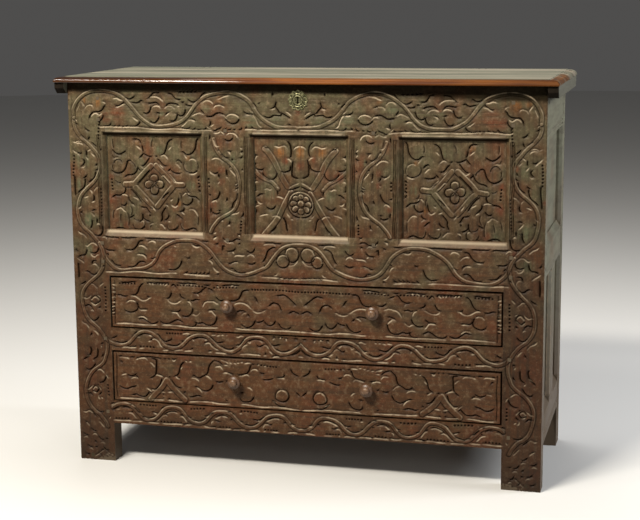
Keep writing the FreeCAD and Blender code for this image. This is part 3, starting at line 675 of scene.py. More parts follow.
class Carving:
    """The depth of all the strokes on one board, over its grid of x and z in millimetres."""

    def __init__(self, x, z, wave):
        self.x, self.z = x, z
        self.bend_x, self.bend_z = wave
        self.low = np.array([x.min(), z.min()])
        self.high = np.array([x.max(), z.max()])
        self.depth = np.zeros(x.shape)
        self.wear_and_highlight = np.zeros(x.shape)
        self.dirt_and_shadow = np.zeros(x.shape)
        self.tints = {name: np.zeros(x.shape) for name in TINTS}

    def near(self, line, reach):
        """The part of the grid close to a line, and its own x and z."""
        low, high = line.min(0) - reach, line.max(0) + reach
        if (low > self.high).any() or (high < self.low).any():
            return (np.array([], int),) * 2, np.array([]), np.array([])
        x, z = self.x + self.bend_x, self.z + self.bend_z
        found = np.nonzero((x > low[0]) & (x < high[0]) & (z > low[1]) & (z < high[1]))
        return found, x[found], z[found]

    def sink(self, found, depth, wear_and_highlight, dirt_and_shadow):
        """Keep the deepest cut, the most worn and lit edge and the most dirt and painted shadow at each
        point.
        """
        for values, value in ((self.depth, depth), (self.wear_and_highlight, wear_and_highlight), (self.dirt_and_shadow, dirt_and_shadow)):
            values[found] = np.maximum(values[found], value)

    def cut(self, line, share=1.0, kind="curve"):
        """The set-in edge of a leaf, fading at both ends."""
        found, x, z = self.near(line, NEAR_DIPS * DIP_REACH)
        if not len(x):
            return
        gap, along, length, side, way = distance_along(x, z, line)
        out = -gap * side * leaf_side(line, kind)
        lit = KIND_LIT.get(kind, upward(way, np.where(out < 0, -1, 1)))
        fade = np.clip(np.minimum(along, length - along) / min(TAPER, TAPER_SHARE * length) + TIP, 0, 1)
        wear_and_highlight, dirt_and_shadow = fade * wear_and_highlight_rim(out, lit), fade * dirt_and_shadow_in_cut(out, lit)
        self.sink(found, share * fade * edge_depth(out), wear_and_highlight, dirt_and_shadow)

    def vine(self, lines, width=VINE_WIDTH):
        """Rounded bands with a set-in edge on both sides, open to each other where they meet."""
        found, x, z = self.near(np.concatenate(lines), width + NEAR_DIPS * DIP_REACH)
        if not len(x):
            return
        each = [distance_along(x, z, line) for line in lines]
        gap = np.min([item[0] for item in each], axis=0)
        way = [sum(item[4][axis] * (item[0] == gap) for item in each) for axis in (0, 1)]
        out, lit = gap - width / 2, upward(way)
        # The lit edge of a vine gets a painted highlight and the other edge a painted shadow.
        wear_and_highlight, dirt_and_shadow = VINE_WEAR_AND_HIGHLIGHT * wear_and_highlight_rim(out, lit), VINE_DIRT_AND_SHADOW * dirt_and_shadow_in_cut(out, lit)
        self.sink(found, VINE_SHARE * edge_depth(out), wear_and_highlight, dirt_and_shadow)

    def chips(self, start, end, count):
        """A row of small dents from one point to another, darkened with dirt and painted shade."""
        for share in (np.arange(count) + 0.5) / count:
            spot = start + share * (end - start)
            found, x, z = self.near(spot[None], 2 * CHIP_RADIUS)
            gap = np.hypot(x - spot[0], z - spot[1])
            inside = np.clip(1 - gap / CHIP_RADIUS, 0, 1)
            self.sink(found, CHIP_DEPTH * inside**CHIP_SWELL, 0.0, np.clip(2 * inside, 0, 1))

    def groove(self, line):
        """A narrow scratched line, darkened with dirt and painted shade."""
        found, x, z = self.near(line, SCRATCH_WIDTH)
        if len(x):
            inside = np.clip(1 - distance_along(x, z, line)[0] / SCRATCH_WIDTH, 0, 1)
            self.sink(found, SCRATCH_DEPTH * inside, 0.0, SCRATCH_DIRT_AND_SHADE * inside)

    def touch(self, name, spot, radius):
        """A soft touch of another paint colour."""
        found, x, z = self.near(spot[None], 2 * radius)
        gap = np.hypot(x - spot[0], z - spot[1]) / radius
        self.tints[name][found] = np.maximum(self.tints[name][found], np.exp(-gap**3))


print("kinds of stroke:", *KIND_LIT, "vine", "band", "row of chips", "scratch", "touch of paint")

# %% Unevenness
WAVES = 9
WAVE_RANGE = (0.6, 1.7)


def soften(values, radius):
    """Values averaged twice over a square neighbourhood."""
    for _ in range(2):
        for axis in (0, 1):
            pad = [(radius + 1, radius) if a == axis else (0, 0) for a in (0, 1)]
            total = np.cumsum(np.pad(values, pad, mode="edge"), axis=axis)
            ahead = np.take(total, range(2 * radius + 1, total.shape[axis]), axis=axis)
            behind = np.take(total, range(0, total.shape[axis] - 2 * radius - 1), axis=axis)
            values = (ahead - behind) / (2 * radius + 1)
    return values


def ripple(x, z, seed, scale, height):
    """A smooth random unevenness made of a few waves."""
    dice = np.random.default_rng(seed)
    total = np.zeros(x.shape)
    for _ in range(WAVES):
        angle, phase = dice.uniform(0, 2 * math.pi, 2)
        rate = 2 * math.pi / (scale * dice.uniform(*WAVE_RANGE))
        total += np.sin(rate * (x * math.cos(angle) + z * math.sin(angle)) + phase)
    return height * total / math.sqrt(WAVES)


print("unevenness of", WAVES, "waves")

# %% [markdown]
# ## The sketches
# The ornament is a running vine with lobed leaves, the same on both halves of the front, so only the left
# half is sketched. A sketch is a text with one stroke of the tool after another, parted by slashes, and a
# stroke is a few points in the picture; the boards lay them on to their own plane. Vines and bands are drawn
# along their middle, leaves along their dark, soft or light edges, and a row of chips from end to end.

# %% Sketch of the top rail and the posts
TOP_RAIL = {
    "vines": """
73.5,118 73,110 74.5,105 77.5,99.5 82.5,94.5 89,91.2 97,89.8 105,90.6 113,92.8 120,96.3 124.5,100
129,104.7 133.5,110.3 138,115.8 142.5,119.5 147.5,122.5 153,125 160,125.8 168,125.6 174,124.5 180,122
184,119 187.5,115.5 190.5,111 194,106 198,102 202,98.8 206.5,96 211,94.3 216,93 222,92.3 228,92.2 233,93.3
238,95.2 243,98 247.5,101 251,104.5 254,108.5 257,112.7 260,116 263.5,119 267.5,122 272,124.7 277,127
283,128 290,128.3 298,128.6
""",
    "darks": """
88.3,119 89.3,115.5 91.5,112.8 94,112.2 97,112 100,111.2 102,109.3 103.2,107 104.8,105.2/115.5,104.5
117,105.2 119.5,104.3 121.5,102.6 123,101/103.5,126.3 106.5,126 109,125 110.7,123/112.3,125.5
113.8,126.3 115.3,124.8/117,126 118.6,126 119.6,124.5/121.8,127 123,126.5 124,125.8/125.5,126.5
127.5,125.3/101.8,115.5 101.5,118 100,120 98.5,121.3 97.3,122.3 98.5,123.8 98.6,125/75,122.3
77.8,123.8/85.5,127 87.5,129 90,130/116.3,91 119.5,92/124,96.3 126.5,97.7 129,98.3 131.5,97
133.5,95.5/129.8,101.3 132.5,101.7 135.5,102.2 138,101.5 140,100 142.5,100.5/147,98.2 149,97 151,95
152.5,93.2 155,92.5 159.5,92.3/166.5,92.5 169,92.8 171.5,93.8 173.5,96.5 175.5,98.5 178,99 180,98.7/
147.5,102.7 150,102.8 153,102.5 156,102.6 158,104 159.8,106/164.3,107 166.5,104.5 169.5,103.4 173,103.4
176,103.8 178.5,105.2/143.5,111.8 145,112.8 147,112.8 148.7,111.6 149.8,109 150,106.5/156.5,112
158,112.3 160,113/151,119.8 153,121.2 155.5,121.4 157,120 158.2,118 158.5,116/164.2,115 166,113.2
168,112.3/169.5,120.5 171.5,121 173.7,120.3 175,118.5 175.8,116 176.3,113.5/176.3,113.7 178,114.6
180,115.3 182,114.8 183.5,113.5 184.3,111 184.5,108.5/129,126 131,126.6 134,126.5 136.5,125.2
138.3,123.3 138.8,121.5/181,101.6 183.5,101.2/188.3,98.5 190,100 192.5,101.3 194.5,101.4 196.5,100.6
198.5,99.2 200,97.5 201,95.5 202.5,93.5 204,92.4 206,92.1/185.3,103 187,104.2 189.5,104.7 192.5,104.7/
201,109.8 202,111.5 204,114/205,116.4 207,116.7 210,116.8 212,116.2 214,114.8 217,113 220,112.5
222.5,113 224.5,114.3/220.3,104.2 222,104.8 223.8,105/181,127 183,128 186,128.4 188.5,127.5 190,126.6/
192,128.3 194,128 195.3,126.8/197,128.3 199,128.4 200.6,128/203,128.3 204.5,128 205,127/212,130
214,130.2 216,129 218.5,128.3 220.5,127/222.5,128.5 224,129.2 225.5,128/227.5,129 229,129.3
230.5,128.5/233,129.3 235,128.8/238,129.5 240,129.2 240.8,127.5/244,129 245.6,126.8/250,128.5
251.5,126.5 253,128 254.5,129 257,129.2 260,128.8 262.5,127.8/208.5,121.5 208.8,124 207.8,126.5/
191.5,117.5 194,118.8 196,119.5/244.5,110.5 245.3,111.7 248,113 250.5,113.6 254,113.5/252,102.3
254,103.7 255.5,105.3 257,107/257.5,103 259,102.3/264.8,115.3 267,116.5 269.5,116.8 271.5,116
273,114.8 275.5,114.8 278,115 280.5,115.2 281,113/281,113 283.5,113.8 286,115 289,116.8 291.5,118.5/
270.5,108 272.5,107.5 274,106 274.7,103.5 274.8,101.5/275.3,104 276,107 278,109.5 279.5,111.8 281,113.3/
270.5,92 270.5,96/178,91 179.5,91.3 181,90/182,91 183.5,91.3 185,90/186,91 187.5,91.3 189,90/
190,91 191.5,91.3 193,90/194,91.2 195.5,91.5 197,90.2/226,118 228,120.5 231,122.5 234,122.8 237,121
238.5,118/288,124 290.5,124.5 292,125.5
""",
    "lights": """
80.5,101 82.5,103.8 84.3,106.8/84.5,109 86,106.5 88.5,105.3 91,105.5 92.2,107/90.5,117 92.5,114.8
95,114 97,115 99,115.8 101.5,114/102.2,102.2 104,102.8 105.5,104/76.3,111.5 77.3,108.5 78.8,105/
112.5,98.7 116,98.2 119,99.7 122,100.2/116,107 118.5,106.3 121,104.7 124,104/74.8,119 77,121/
149,97.7 152,97.2 156,97.5 159,98.7 161.5,100.8 163,102.5/151.5,108.5 153,107 156,106.3 158.5,107
160,108.5/163.8,109 166,107.5 169,107 172,107.7 174,109.5/165,116 166.5,114.5 168.5,113.5/132,117.5
134.5,119.8 137.5,121.7/176.5,106.5 179,106/202,104 204,101.8 206.5,101 209.5,101.5 211.5,103
212.8,104.7/213.5,108.5 215,106.5 217.5,105.5 220.5,105.3 222.5,106 224.5,107/217,99.2 220,98 223,96.5
226,95.8 229,95.4/220,115.5 222,114.8 224,115 226,117 227,118.5/191.8,115.5 194,114.3 197,113.3
199.5,113.2 201.5,114.3 203.5,115/188.5,119.8 191,119.4 193,119.8 195,121/181,126.5 183.5,125
186,122.5 188,120.5/209.3,126.5 211,125.7 213,124.8/206,126.5 208,128 210,129.3/250,109.5 252,111.5
254,113/253,114.5 255,116.5 256.5,119 257.5,121 258.5,124 260,126 262,127.3/246,114.5 249,115
252,114.5/271,109.5 273,109 275,108.8/98,126.3 100,127.3 112,127 128,127.4 150,128.3 184,129.3
204,129.8 211,130.4/244,130 262,129.6 284,130.3 298,130.5/226,116.5 229,114 233,113.3 237,115
239,117.5/286,112 289,113.5 292,116
""",
    "red": "117,113,20 106,118,14 163,106,8 300,112,9",
    "ochre": "95,102,13 84,100,8 219,100,8",
    "green": "250,121,18 276,121,14 206,109,13 161,113,8",
}
POST = {
    "vines": """
73.5,118 73.5,123 75.5,129.5 79.5,135 84,139.5 88.5,143.8 92,148 95.5,152.5 98,157.5 99,163 99,170
97.5,175.5 95,180.5 91.5,184.5 87,188 83,192 80,197 78.5,203 78,209 78.5,215 80.5,222 83,226.5 86,230
90,233.5 93.5,237.5 97,241.5 100.5,247 102.7,252 103.3,257 103,262 102.3,267 100,271.5 97,275.5 93.5,279
89.5,282.5 86.5,285.5 84,289.5 82.5,294 82,300 82.7,306 84.3,312 87,317 90.5,321.3 94.5,324.5 98,327.7
101.5,332 104,336 106.5,341 107.5,347 107,353 105.5,357.5 104,361.5 101,365 97.5,367.8 94,370.3 91,373.5
88.5,377.5 87,381.5 86,386 86,391 87,397 89,402.5 92,407.8 96,412 100,414.8 103.5,418.8 106.5,423 108,427
""",
    "darks": """
80.5,133.5 83,135.5 85.5,137.5/88.5,135.5 88.2,137.5 87.3,139.3/91.5,141.3 93.5,143.3 95.5,145
96.5,146.5/99.3,148 99.2,150.5/77.5,152 79,153.3 80.3,153.3 80.8,152.3/81.5,160.5 83,162 82.5,164
80.5,166/85.3,151 85.7,154 85.4,156.5/95.5,163.5 95,165 94.3,165.7/94.3,170.5 96,169.7 97,168.6/
83.5,177.3 85,176.4 86.5,175/84.5,178 84.8,181 84.5,183.5 84,185.5 82.5,187.8 80,189.7 78.3,191.5
77.3,193.2/94.5,172 94.3,175 93.8,177.5 92.3,179.3 90,180.8 88,182.3/92.4,194.8 92.9,197 92.4,199.3
91.5,200.3/91.2,210 92.5,209 94,208.6 95.5,208.8/80,213 81,212 82,211/96.4,218.3 96.6,220.5 96.4,223/
91.3,219.5 91.5,223 90.8,226 89.5,228.5/102.2,225.5 102,228.5 101.6,231.5 100.3,234.2 98,235.3 96,235
94,234/74.3,175 74.5,180 74.3,187 74.4,192 74.8,196.5/76.3,248.5 77,250 78,250.5/86.3,248.5 86.2,251
85.5,253 84,254.2 81.5,254.4 79.5,255.2 78.2,256.3/91,251.5 92.5,252.3 94.5,252.8 96.5,252 97.5,250.5
97.7,248/91.5,264 92,262 92.5,260.8 94,260.2 96,260.3 97,260.8/86,270.5 87.5,270.3 89,270.8 90.5,272
92.3,273.3 94,273.8 95.5,273.3 96.7,271.7/80.5,283.7 82,282.7 84,281.8 85.5,280.3/102.5,265.8
103.7,265/77.3,262.5 77.5,266 77.5,272 77.7,278/84,306 85.5,305.6 87,305 89,305 91,306 92.3,307.3
93,308.5/90,317.3 91.5,319 93,319.8 95,319.7 97,318.5 98.7,316.3/98,307.3 99,306.8 99.8,306/90,335
91,333.5 91.3,332.5/101,342.8 102,342.5 103,342/88.3,347 89.7,349.3 89.3,352 88.5,354.5 86.5,356.5
84.5,358 83.3,359.3/96.5,348 96.5,352 96,355.5 94.5,357 92.3,358.5/86.5,368 88,369.3 90,369 92,367.5
93.5,365.5 94.5,363.5/100.8,356.5 102,355 102.5,353.3/99.5,382 101,382.3 103,381.8 104.8,380.3
105.7,378.3 105.8,376.5/98,384.3 98.5,385.3/86.5,391.8 88.5,391.8 90.5,391.7 92,393 93.3,394.5/
98,394.3 99.5,393.3 100.8,391.5/95.8,408.8 97.5,410 99.5,411.2 102,411.2 103.5,410.7/90.5,410.7
92.5,412.3 94.5,414.3 96.8,416.3/86,421.3 87.5,422.2 89,422.6/105.5,438 107.5,438.2/95.3,446.3
97,445.5/101,448.5 103,447.8/
84,432 86,434 88.5,434.5/92,428 94.5,430.5 97,431/99,436 101,438.5 103.5,439/88,444 90,446
92.5,446/95,440 97,441.5/104,446 106,448.5 108,448.5/86,452 88,453.5 90,453/99,452 101,453.5
""",
    "lights": """
73.5,142 75.5,142.6 77.5,141.5 80,141.2 82,141.9/76.5,143.8 79,143 82,143.8 83.5,145/73,150.5 75,152.5
77,154 79.5,156/87,152 88.5,150.8 90.3,149.7/91,153.5 92.5,155.3 94,157/85.3,157.5 86.3,159
87.7,160.7/81,167.5 83,167.3 84.3,166.3/83.5,198 85.5,197 87.5,196.2/90,190.2 91.3,191.3 92,193/
94,191 96,188.5 98.5,187.3/78.8,209 80,208 81,206.7/91,212 92.5,213.8 94.8,216/97,224.2 98.5,223.5
100,224.7/91,201.5 93,200.8 94,200.5/78.5,231.5 80.5,233.5 83,234.8 85,236.5 86.5,238.3/86,245.5
87.5,246 89,244.8 91,243.3 93.5,243.3 95,244.3 97,246.3/77,257.5 79.5,259.5 82,261 84.5,262.8/
91.3,253.5 92.3,255.5 94,256.8 95.7,257 97,255.5 99.5,255.3/93,264.3 95,264 97,265.3 98.3,267.3 98.5,269/
91,284 93.5,284.5 95.5,286.5 97.7,289/99.5,286.5 101.5,284.5 103,283/83,298 85,298.5 87.5,299
90,297.5 91,296/97.5,296 99,297 100,297.5/91,303 93,304.5 95,305.5 97,304 99.3,302.3/91,310.5
92.5,310.3 94,311.5/81.5,320.5 83.5,322.8 86,324 88,325.8 89.3,328/94,330.3 95.5,331.3 97.3,333
99,335.3/101,345.3 102,346.7/86,357 87.5,355.8 89.3,355/92.3,360 93.5,361.2/97.5,370.5 99.5,369.8
101.5,370.3 103.3,371.7 104.7,373.3/106.8,375 107.8,376.3 109.3,378.8/86.5,388.3 88.5,388.3 90.5,386.8
92.5,385/97.8,386 99.3,387.8 101.3,390.3/93,390.5 94.3,391.8 96,392.3/98.5,396 98.8,398 100,398.7/
101,397.3 102.5,398.5/83.8,411.8 86,412.4 88.5,411.2 90.5,411.8 92.3,413.3/85.5,421.8 87.5,423.3
89,424.8 90.3,426.3/99.3,421.3 101,423.3 102.7,425.5 104.7,427.7/95.5,456 98,454 100.5,451.5
102.5,449.7 104,448.8/
83.5,437 86,436.5 88,437.5/93,434.5 95.5,434 97.5,435.5/100,442.5 102.5,442 104.5,443/89,448.5
91.5,448.2 93.5,449.3/106,452.5 108,452 110,453.5
""",
    "cuts": """
91,301 95,297.5 99,301 95,304.3 91,301/92.5,389 95,386.5 97.7,389 95.3,391.5 92.5,389
""",
    "rows": """
98.5,114 98.4,140/73.5,154.5 74,176.5/101,188 101.5,217/104.7,286 105.5,312/108.6,384 109,397
""",
    "red": "96,160,8 99,240,7 72,190,6 90.5,450.5,6",
    "green": "93,454.5,5 84,160,22 80,185,20 90,220,20 88,250,16",
}
print("dark strokes on the top rail", len(points_of(TOP_RAIL["darks"])))
print("dark strokes on a post", len(points_of(POST["darks"])))

# %% Sketch of the lower rails and the muntins
MIDDLE_RAIL = {
    "vines": """
99,243.5 102,250 104,255.5 107,260.3 111,264.3 115.5,267.7 120.5,269.7 126,270.4 132,270 138,269.5
143.5,268.3 148.5,265.5 152.5,262 155.5,257.5 158.5,252.5 162,248.8 166,245.8 171,243.2 176,241.3
182,240.5 188,240.5 194,241.3 199,243.3 203.5,246.5 207.5,250.3 211,254.5 214,258.5 217.5,262.3
221.5,266.3 226,269.8 230.5,272.3 236,274.7 242,275.7 248,275 254,273 260,270.3 265,268 268.5,265.5
271.5,261.5 274.5,257.3 277.5,253.3 281,249.8 285,247.5 290,246 295,245.3 300,245.3
""",
    "darks": """
104.5,235.5 107,236.3 111,236.7 114,236.6 117,237 119,237.8/121,236.5 123,237.2 126,237.3 128.5,237.5
132,237.3 136.5,237.3/145,237.8 148,238.3 154,238.4 158.5,238.6 166,238.7 172,238.8 175.5,239.2/
126.3,248.5 127.5,249.2 129.5,249.4 131.5,249.3 133.5,248.3 135.5,246.3 136.8,244.3 137.8,242.3 139,241
141,240.5 143.3,240.2/105,248.7 106.5,249.8 108.5,250.4 111,250.4 113.5,250.4 114.3,250.2/106.5,253.5
108,254.5 109.3,255.8/111,259.3 113,261 115,263.2 117,264.2 119,264.5 121.3,264.6/128,266.3 129.5,267
131.5,267.2 133.5,266.8 135.5,265.5 137,263.5 138.5,262 140.5,261 143,260.9 145.5,261.7/139,253.3
141,253.2 143,253.2 145,254.2 146.5,255.5/150,257.3 152,257.3 154,256.5 154.8,255.5/168,269 170,269.3
173,269.8 175.5,269.2 177.5,267.7 179,265.8 180,263 180.8,260/192.3,243.5 194.5,244.8 197,245.3
199.5,245.7/201,240.3 204,240.7 208,240.5/185,273 186.5,272.3 187.5,271/189,273.3 191,273.4
192.3,272.3/194,272.8 195.7,273 196.6,271.5/198,273 199.5,273 200.4,271.8/202,273 203.5,273
204.2,271.8/206,273.5 208,273.3 209,272.2/209,259.5 210.5,258.5 211.5,257.5/186.5,256.5 188,256.9
189,256/223.5,237 224.5,238.8 226.5,240.2 229,240.7 232,240.4 234,239 236,238.3 238.5,238.5 240.5,239.7/
221.3,250.5 221.5,247 222,245 223.5,245.2 225,246/226.5,250.3 229,250.5 232,250 233.5,248.5 234,247.7/
228.3,262.5 230.5,262.7 232.5,262 235,261.5 237.5,261.3/230.5,267.7 232.5,268 234.5,269/235,269.5
237,271.8 239.5,273 242.5,273.3 245.3,272.5/237,243.5 239.5,242.7/214.5,243.5 216.5,243 217.5,242.5/
217,274.3 219.5,273.5/262.5,261.5 264.5,259 266,255.5 267,252 268.3,249.8 270.5,248.3 273,247.3
275.8,247.6/263.3,266.7 265,265.3 266,265.5/265,242.5 271,242.7 276,243.2 281,243.4/246,250 249,252
252,251 254,248/247,263 251,264 255,262/277,278 279,278.2 280.5,277/282,278.2 284,278.4 285.5,277.2/
287,278.4 289,278.6 290.5,277.4/292,278.6 294,278.8 295.5,277.6
""",
    "lights": """
128,250.7 130,251 132,250.6/138.5,245.7 141,245.3 143.5,246 145.5,247.3 147.3,249/137,254.3 140,254.2
142.5,254.8 144.5,256.3 146,258.5/147.5,243.5 149.5,242 152,241.3 154.5,241.8 156,243.3/101.5,237.5
103.5,237 105.5,238 107,239.8/105,271.2 112,271.2 120,272 140,272.3 154,272.6 170,273.2 177,273.9/
191.5,244.5 193.5,246.3 196,247.2 199,246.5/174,246.3 176,247/184,274.5 192,274.7 200,275.2 210,275.8/
208,261 210,262 211.5,263.3 212.7,265/224,240 226.5,241.8 229,242.5 231.5,242.3 233.5,244/
213.3,239.5 215,238 217,237/234,256.5 235.5,255.5 238,255.4 241,255.7 243.5,255.5/232,252 233.5,253/
231.5,264.5 233,263 236,262.3 238,262.8/213.5,268.3 215,270 217,271.7 219.5,272.5/264,244.8 268,244.2
272,244.3 274.5,245.3 275.8,247/273.5,276 275.5,275.5 277,274/297.8,261.2 295.6,263.6 293,265.5
290,266.3 287,266.5/246,256 249,254.5 252,255 254,257/262,277.5 268,277.6 273,277.8 285,279 299,279.6
""",
    "cuts": """
285,255.4 287,250.6 291.9,248.6 296.8,250.6 299,255.4 296.8,260.2 291.9,262.3 287,260.2 285,255.4/
276.7,262 278.4,258 282.3,256.3 286.1,258 287.8,262 286.1,266 282.3,267.7 278.4,266 276.7,262
""",
}
DRAWER_RAIL = {
    "vines": """
106.5,339 109,341.5 112,343.3 116,345 120.5,345.3 125,344.5 128.5,342.5 131.5,339.5 134.3,336.3
137.5,333.7 141,332 145,331.5 149,332.3 152.5,334 155.8,336.5 158.8,339.7 161.5,343 165,345.8 169,347.5
173.5,348.3 178.5,348 182.5,345.8 186,342.8 189,339.8 192.5,337.3 196.5,335.7 200.5,335.5 204.5,336
208,337.7 211,340.3 214,343.3 217,346.3 220.5,349 225,351.3 230,352 235,350.8 240,347.8 243,344.3
246,340.8 250,338.7 255,338 260,338.3 264,340 267.5,343.3 270.5,347 274,350.5 278,352.7 283,354 288,353.8
292.5,352 296.5,348.7 300.5,344.5
""",
    "darks": """
111.5,337.7 113.3,337 116.1,335.3/114.3,340.5 117.5,341.6 121.3,342.3 123.6,341.6 126.4,340.2/
132.9,333.5 135.3,331.8 136.7,330.7/137.5,334.7 139.9,334.6 142.3,333.5 144.5,333.2 147,333.6
149.5,334.3 151,335/149.7,340 151.6,338.4/156.3,333.2 159.1,335.3 160.5,337.7 162.3,339.5 164.7,340.5
167.5,340 170,339.3 171,338/166.5,343.3 169.8,344.2 172.6,344.9 176.1,345.5 178.4,344.6 180,343.4/
129.2,346.5 131.5,346.4 133.9,346.3 135.7,345.6/187.7,336.9 190.5,335.5/182.1,341.3 184,341.5/
192.7,339.2 194.5,339 196,338 198.5,337.4 201,337.3 204,337.7 206.5,338.7 208,339.3/204.1,342.9
206.4,342.2 208.7,341.5/211.5,336.4 213.9,339.2 216.2,341.5 218.5,342.5 221.3,342 224.1,341.3/
221.1,345.5 223.7,346.7 226,348.1 228.8,348.5 231.6,348.3 233.9,346.7/236,344.5 238,344.5 240,344
241.5,342.5 243,340.5 244.5,338.7 246,337.7/208.7,351.1 211.1,350.9/191,349.5 192.4,348.5/
248.2,341.3 249.5,340.7 251.5,340 253.5,339.4 256,339.2 258.5,339.6 260.5,340.3 262.5,341 264,341.9/
257,345.3 258,346.2 259,346.5 260.5,345.8 262,345 263.5,344.5/256.5,354 257.5,354.3 259.5,354.2/
264,353.7 264.3,352.5/270.5,344 272,344.8 274.5,345 277,344.5 279.5,344.2/276,348.3 278,349.5
280,350.7 283,351.3 286,351 288,350.3 289.7,349.8/271,355 273.5,354.7 276,354.4 278.5,355 280.5,356/
292.5,347.3 294.5,347.3 296,346.5 297.5,345 299,343 300.5,341.3/290,355.5 292.5,354.6 295,353.8 297,352
299,350/272.5,337 275.5,337.3/278.5,337.3 280,337.5/281.5,337.5 283.5,337.8/285,338 288,338.3/
293.5,338.5 297.5,339
""",
    "lights": """
121.7,347.5 126.4,347.2 130.1,347.7 136.2,347.7/139.5,348.6 144.1,348.6/162.3,349.8 167.9,349.8/
136.7,337 139.9,337.2/148.8,335.3 151.6,336.3/151.6,339.5 154.4,339.1 156.7,340.2 158.6,342.3
160,345.1 161.9,346.8/148.3,341.6 150.2,341.4/193.3,340.8 194.5,341.5/204.5,340.1 207.3,340.6/
205.5,344.3 208.3,343.4 210.6,344.1 212,346.2 213.9,348.1 216.7,349.9 218.5,350.2/212,335.5 216.7,335.2/
217.5,336.3 220.5,335.5/222,335.5 224,335.5/226,336 227.5,335.5/183.1,334.5 186.8,333.8
190.1,334.1/174.2,350.6 183.1,350.6/184,351.8 191.9,351.3/208.7,352.5 212,352.5/215.3,353.2
226,353.7/236.5,337 238.5,337.3 241,336.3 244,336.7/236.5,345.8 238.5,346.5 240,346/248.5,342.7
250,343.5 251,342.5/259.5,341.5 261,342.5 262.5,343.5/242,349.5 243,347.5 245,346 247.5,345.3/
262.5,346 264.5,345.5 266.5,346.5 268,348.3/268.5,350.5 270.5,352 272,353.3/272,340 274,339.3/
280,338.7 281.5,338.2/285.8,339.5 286.5,341.5/272,356.3 276,355.8 279.5,356.5/240,354.3 246,354.5
253,355.3 260,355.7/263,355.5 266,355.2/297.5,357.5 300.5,357.6
""",
    "rows": """
139,346.8 155,347.6/165,333.5 183,334.5
""",
}
BOTTOM_RAIL = {
    "vines": """
112,407 114.5,405 118,404 124,403.7 128,405 131.5,407 134.5,410 137.5,413.5 140.5,416.5 144,419.3
149,420.5 153,420 156.5,418 159.5,415 162.5,411.5 165.5,409 169.5,407.8 174,407.6 178,408.5 181,410.5
183.5,413.5 186,417 189,420 193,422.5 198,423.7 203,423 206.5,421 209.5,417.8 212.5,414.5 216,412.3
220,411.8 225,411.8 229.5,413 233,415.8 236,419.2 238.5,422.3 241.5,425 245.5,427.3 250,428.2 255,427.3
259,424.8 262,421.5 265,418.5 268.5,416.5 273,415.7 278,415.8 282,417 285.5,419.7 288.5,423 291.5,426.3
295,429 299,430.8 302,431
""",
    "darks": """
109.7,402.8 112,402.3 114,402.3/111.5,408.7 113.5,407.8 115.5,406.8 117.8,406.3/121,406.5 123,406.3
125.5,406.5 127.7,407.3 129.5,408.5/129,404.2 131,404.7/133.8,407.5 135.3,409 137,411 138.5,412.6
140.3,413.4/130,412.3 131.3,411.5 132,411/142,416.3 144,417.2 146,418 148,418.7 150.5,417.9 153,417
155.5,416.2/151.3,411.5 153.5,412.2 155.5,413 157.5,412.8/160.5,409 162,407.8 163.3,407 165,406.7/
163.8,414.3 165,413.5 166.5,412.8 169,412 172,411.3 175,411.2 176.5,411.6/165.5,414.2 167.5,415.3
168.5,416/180.3,414 181.5,415 183,415.3/187.5,416 189,417.2 191.3,417.3/193.5,420.2 195.5,420.3
197.5,421 199.5,421.5 201.5,421.2 203.5,420.2 205.5,419 207.5,418.3/182,424 185,424 188,423.8/205,416
207.5,416.3 209.5,415.2 211,413.7 213,412.5/215.5,416 217.5,415.3 219.5,414.7 222,414.3 224.5,414.8
226.5,415.3 228.5,416/214.5,419.3 216.5,420 218.5,420.6 220,420.6/230.7,418.3 232.5,418.5/
227.5,410.7 230,411.3 231.5,411.3/233.5,412.7 235,414.5 236.5,416/211.5,426.3 213.5,426.3 215.5,425.8/
232,428.3 237,428.5 240,428/240.5,421.3 242.5,421.7/244.5,424.3 246.5,424.5 248.5,425.3 251,425.5
253.5,425.2 255.5,424 257.5,422.7/252.5,419.5 255,419.9 257,420.2 259.5,419.3 261.5,418 263.5,416.7
264.7,416.2/267,419.8 269.5,418.7 272,417.6 275,417.4 277.5,417.8 279.5,418.5/265.7,422.5 267.5,423.3
269,424.2 270.5,424.1 271.5,423.5/283,421.7 284.5,422.2 286,422.4/290.5,422.7 292,424 294.5,424.3/
296.3,427.5 298,428.3 300.5,429.2
""",
    "lights": """
110,405 112.5,403.7/115.5,409 119,408.3/128,413 131,413.7 133.5,415.5 135,417.5 137,419/110.5,416.5
109.5,418.3/153,413 155,414 156.5,414.5/157,421.8 159,420 161,418 163,416.3 165.5,415.7 167.5,416.3/
166.5,414 170,412.8 173,412.5 175.5,413.2 177.5,413.7/114,419.7 120,420.3 128,420.6 132,421/133,421.5
138,421.5 142,421.7/148,422.6 154,423 160,423.5/163,423.8 170,424.2 176,424.3 182,424.8/185,425.2
192,425.3/180.5,416.5 183,417.5 185,420 186.5,422.3/215,418.3 216.8,418 218.5,417 220,416.3/222,416
224.5,416.3 227,417/211,424 211.7,422 213.5,421.3/204,426.3 209,427.5 215,427.5/216.5,428.4
224,428.8 231,429/233,429.5 241,429.5 245,430/249,430.5 256,430.7 260,431.3/240,414 242,414.5/
257.5,421.3 259,422/266,421.7 268.5,420.5 271,419.5 273.5,418.8 276.5,418.7 279,419.5/262.5,428
263.5,426 264.5,424.8 266.5,424.6 268.5,425/291,425.3 292.5,426 294,425.6/264,431.3 265.5,431.5/
271,432 275,432.4 279,432.5/288,433.3 293,433 298,433.5
""",
    "rows": """
138,405 157,406.3/190,409 206,409.8/240,412.2 258,413.3/115,418 130,418.8/160,422 182,423.4/
218,426.8 231,427.3/264,430 278,430.9
""",
}
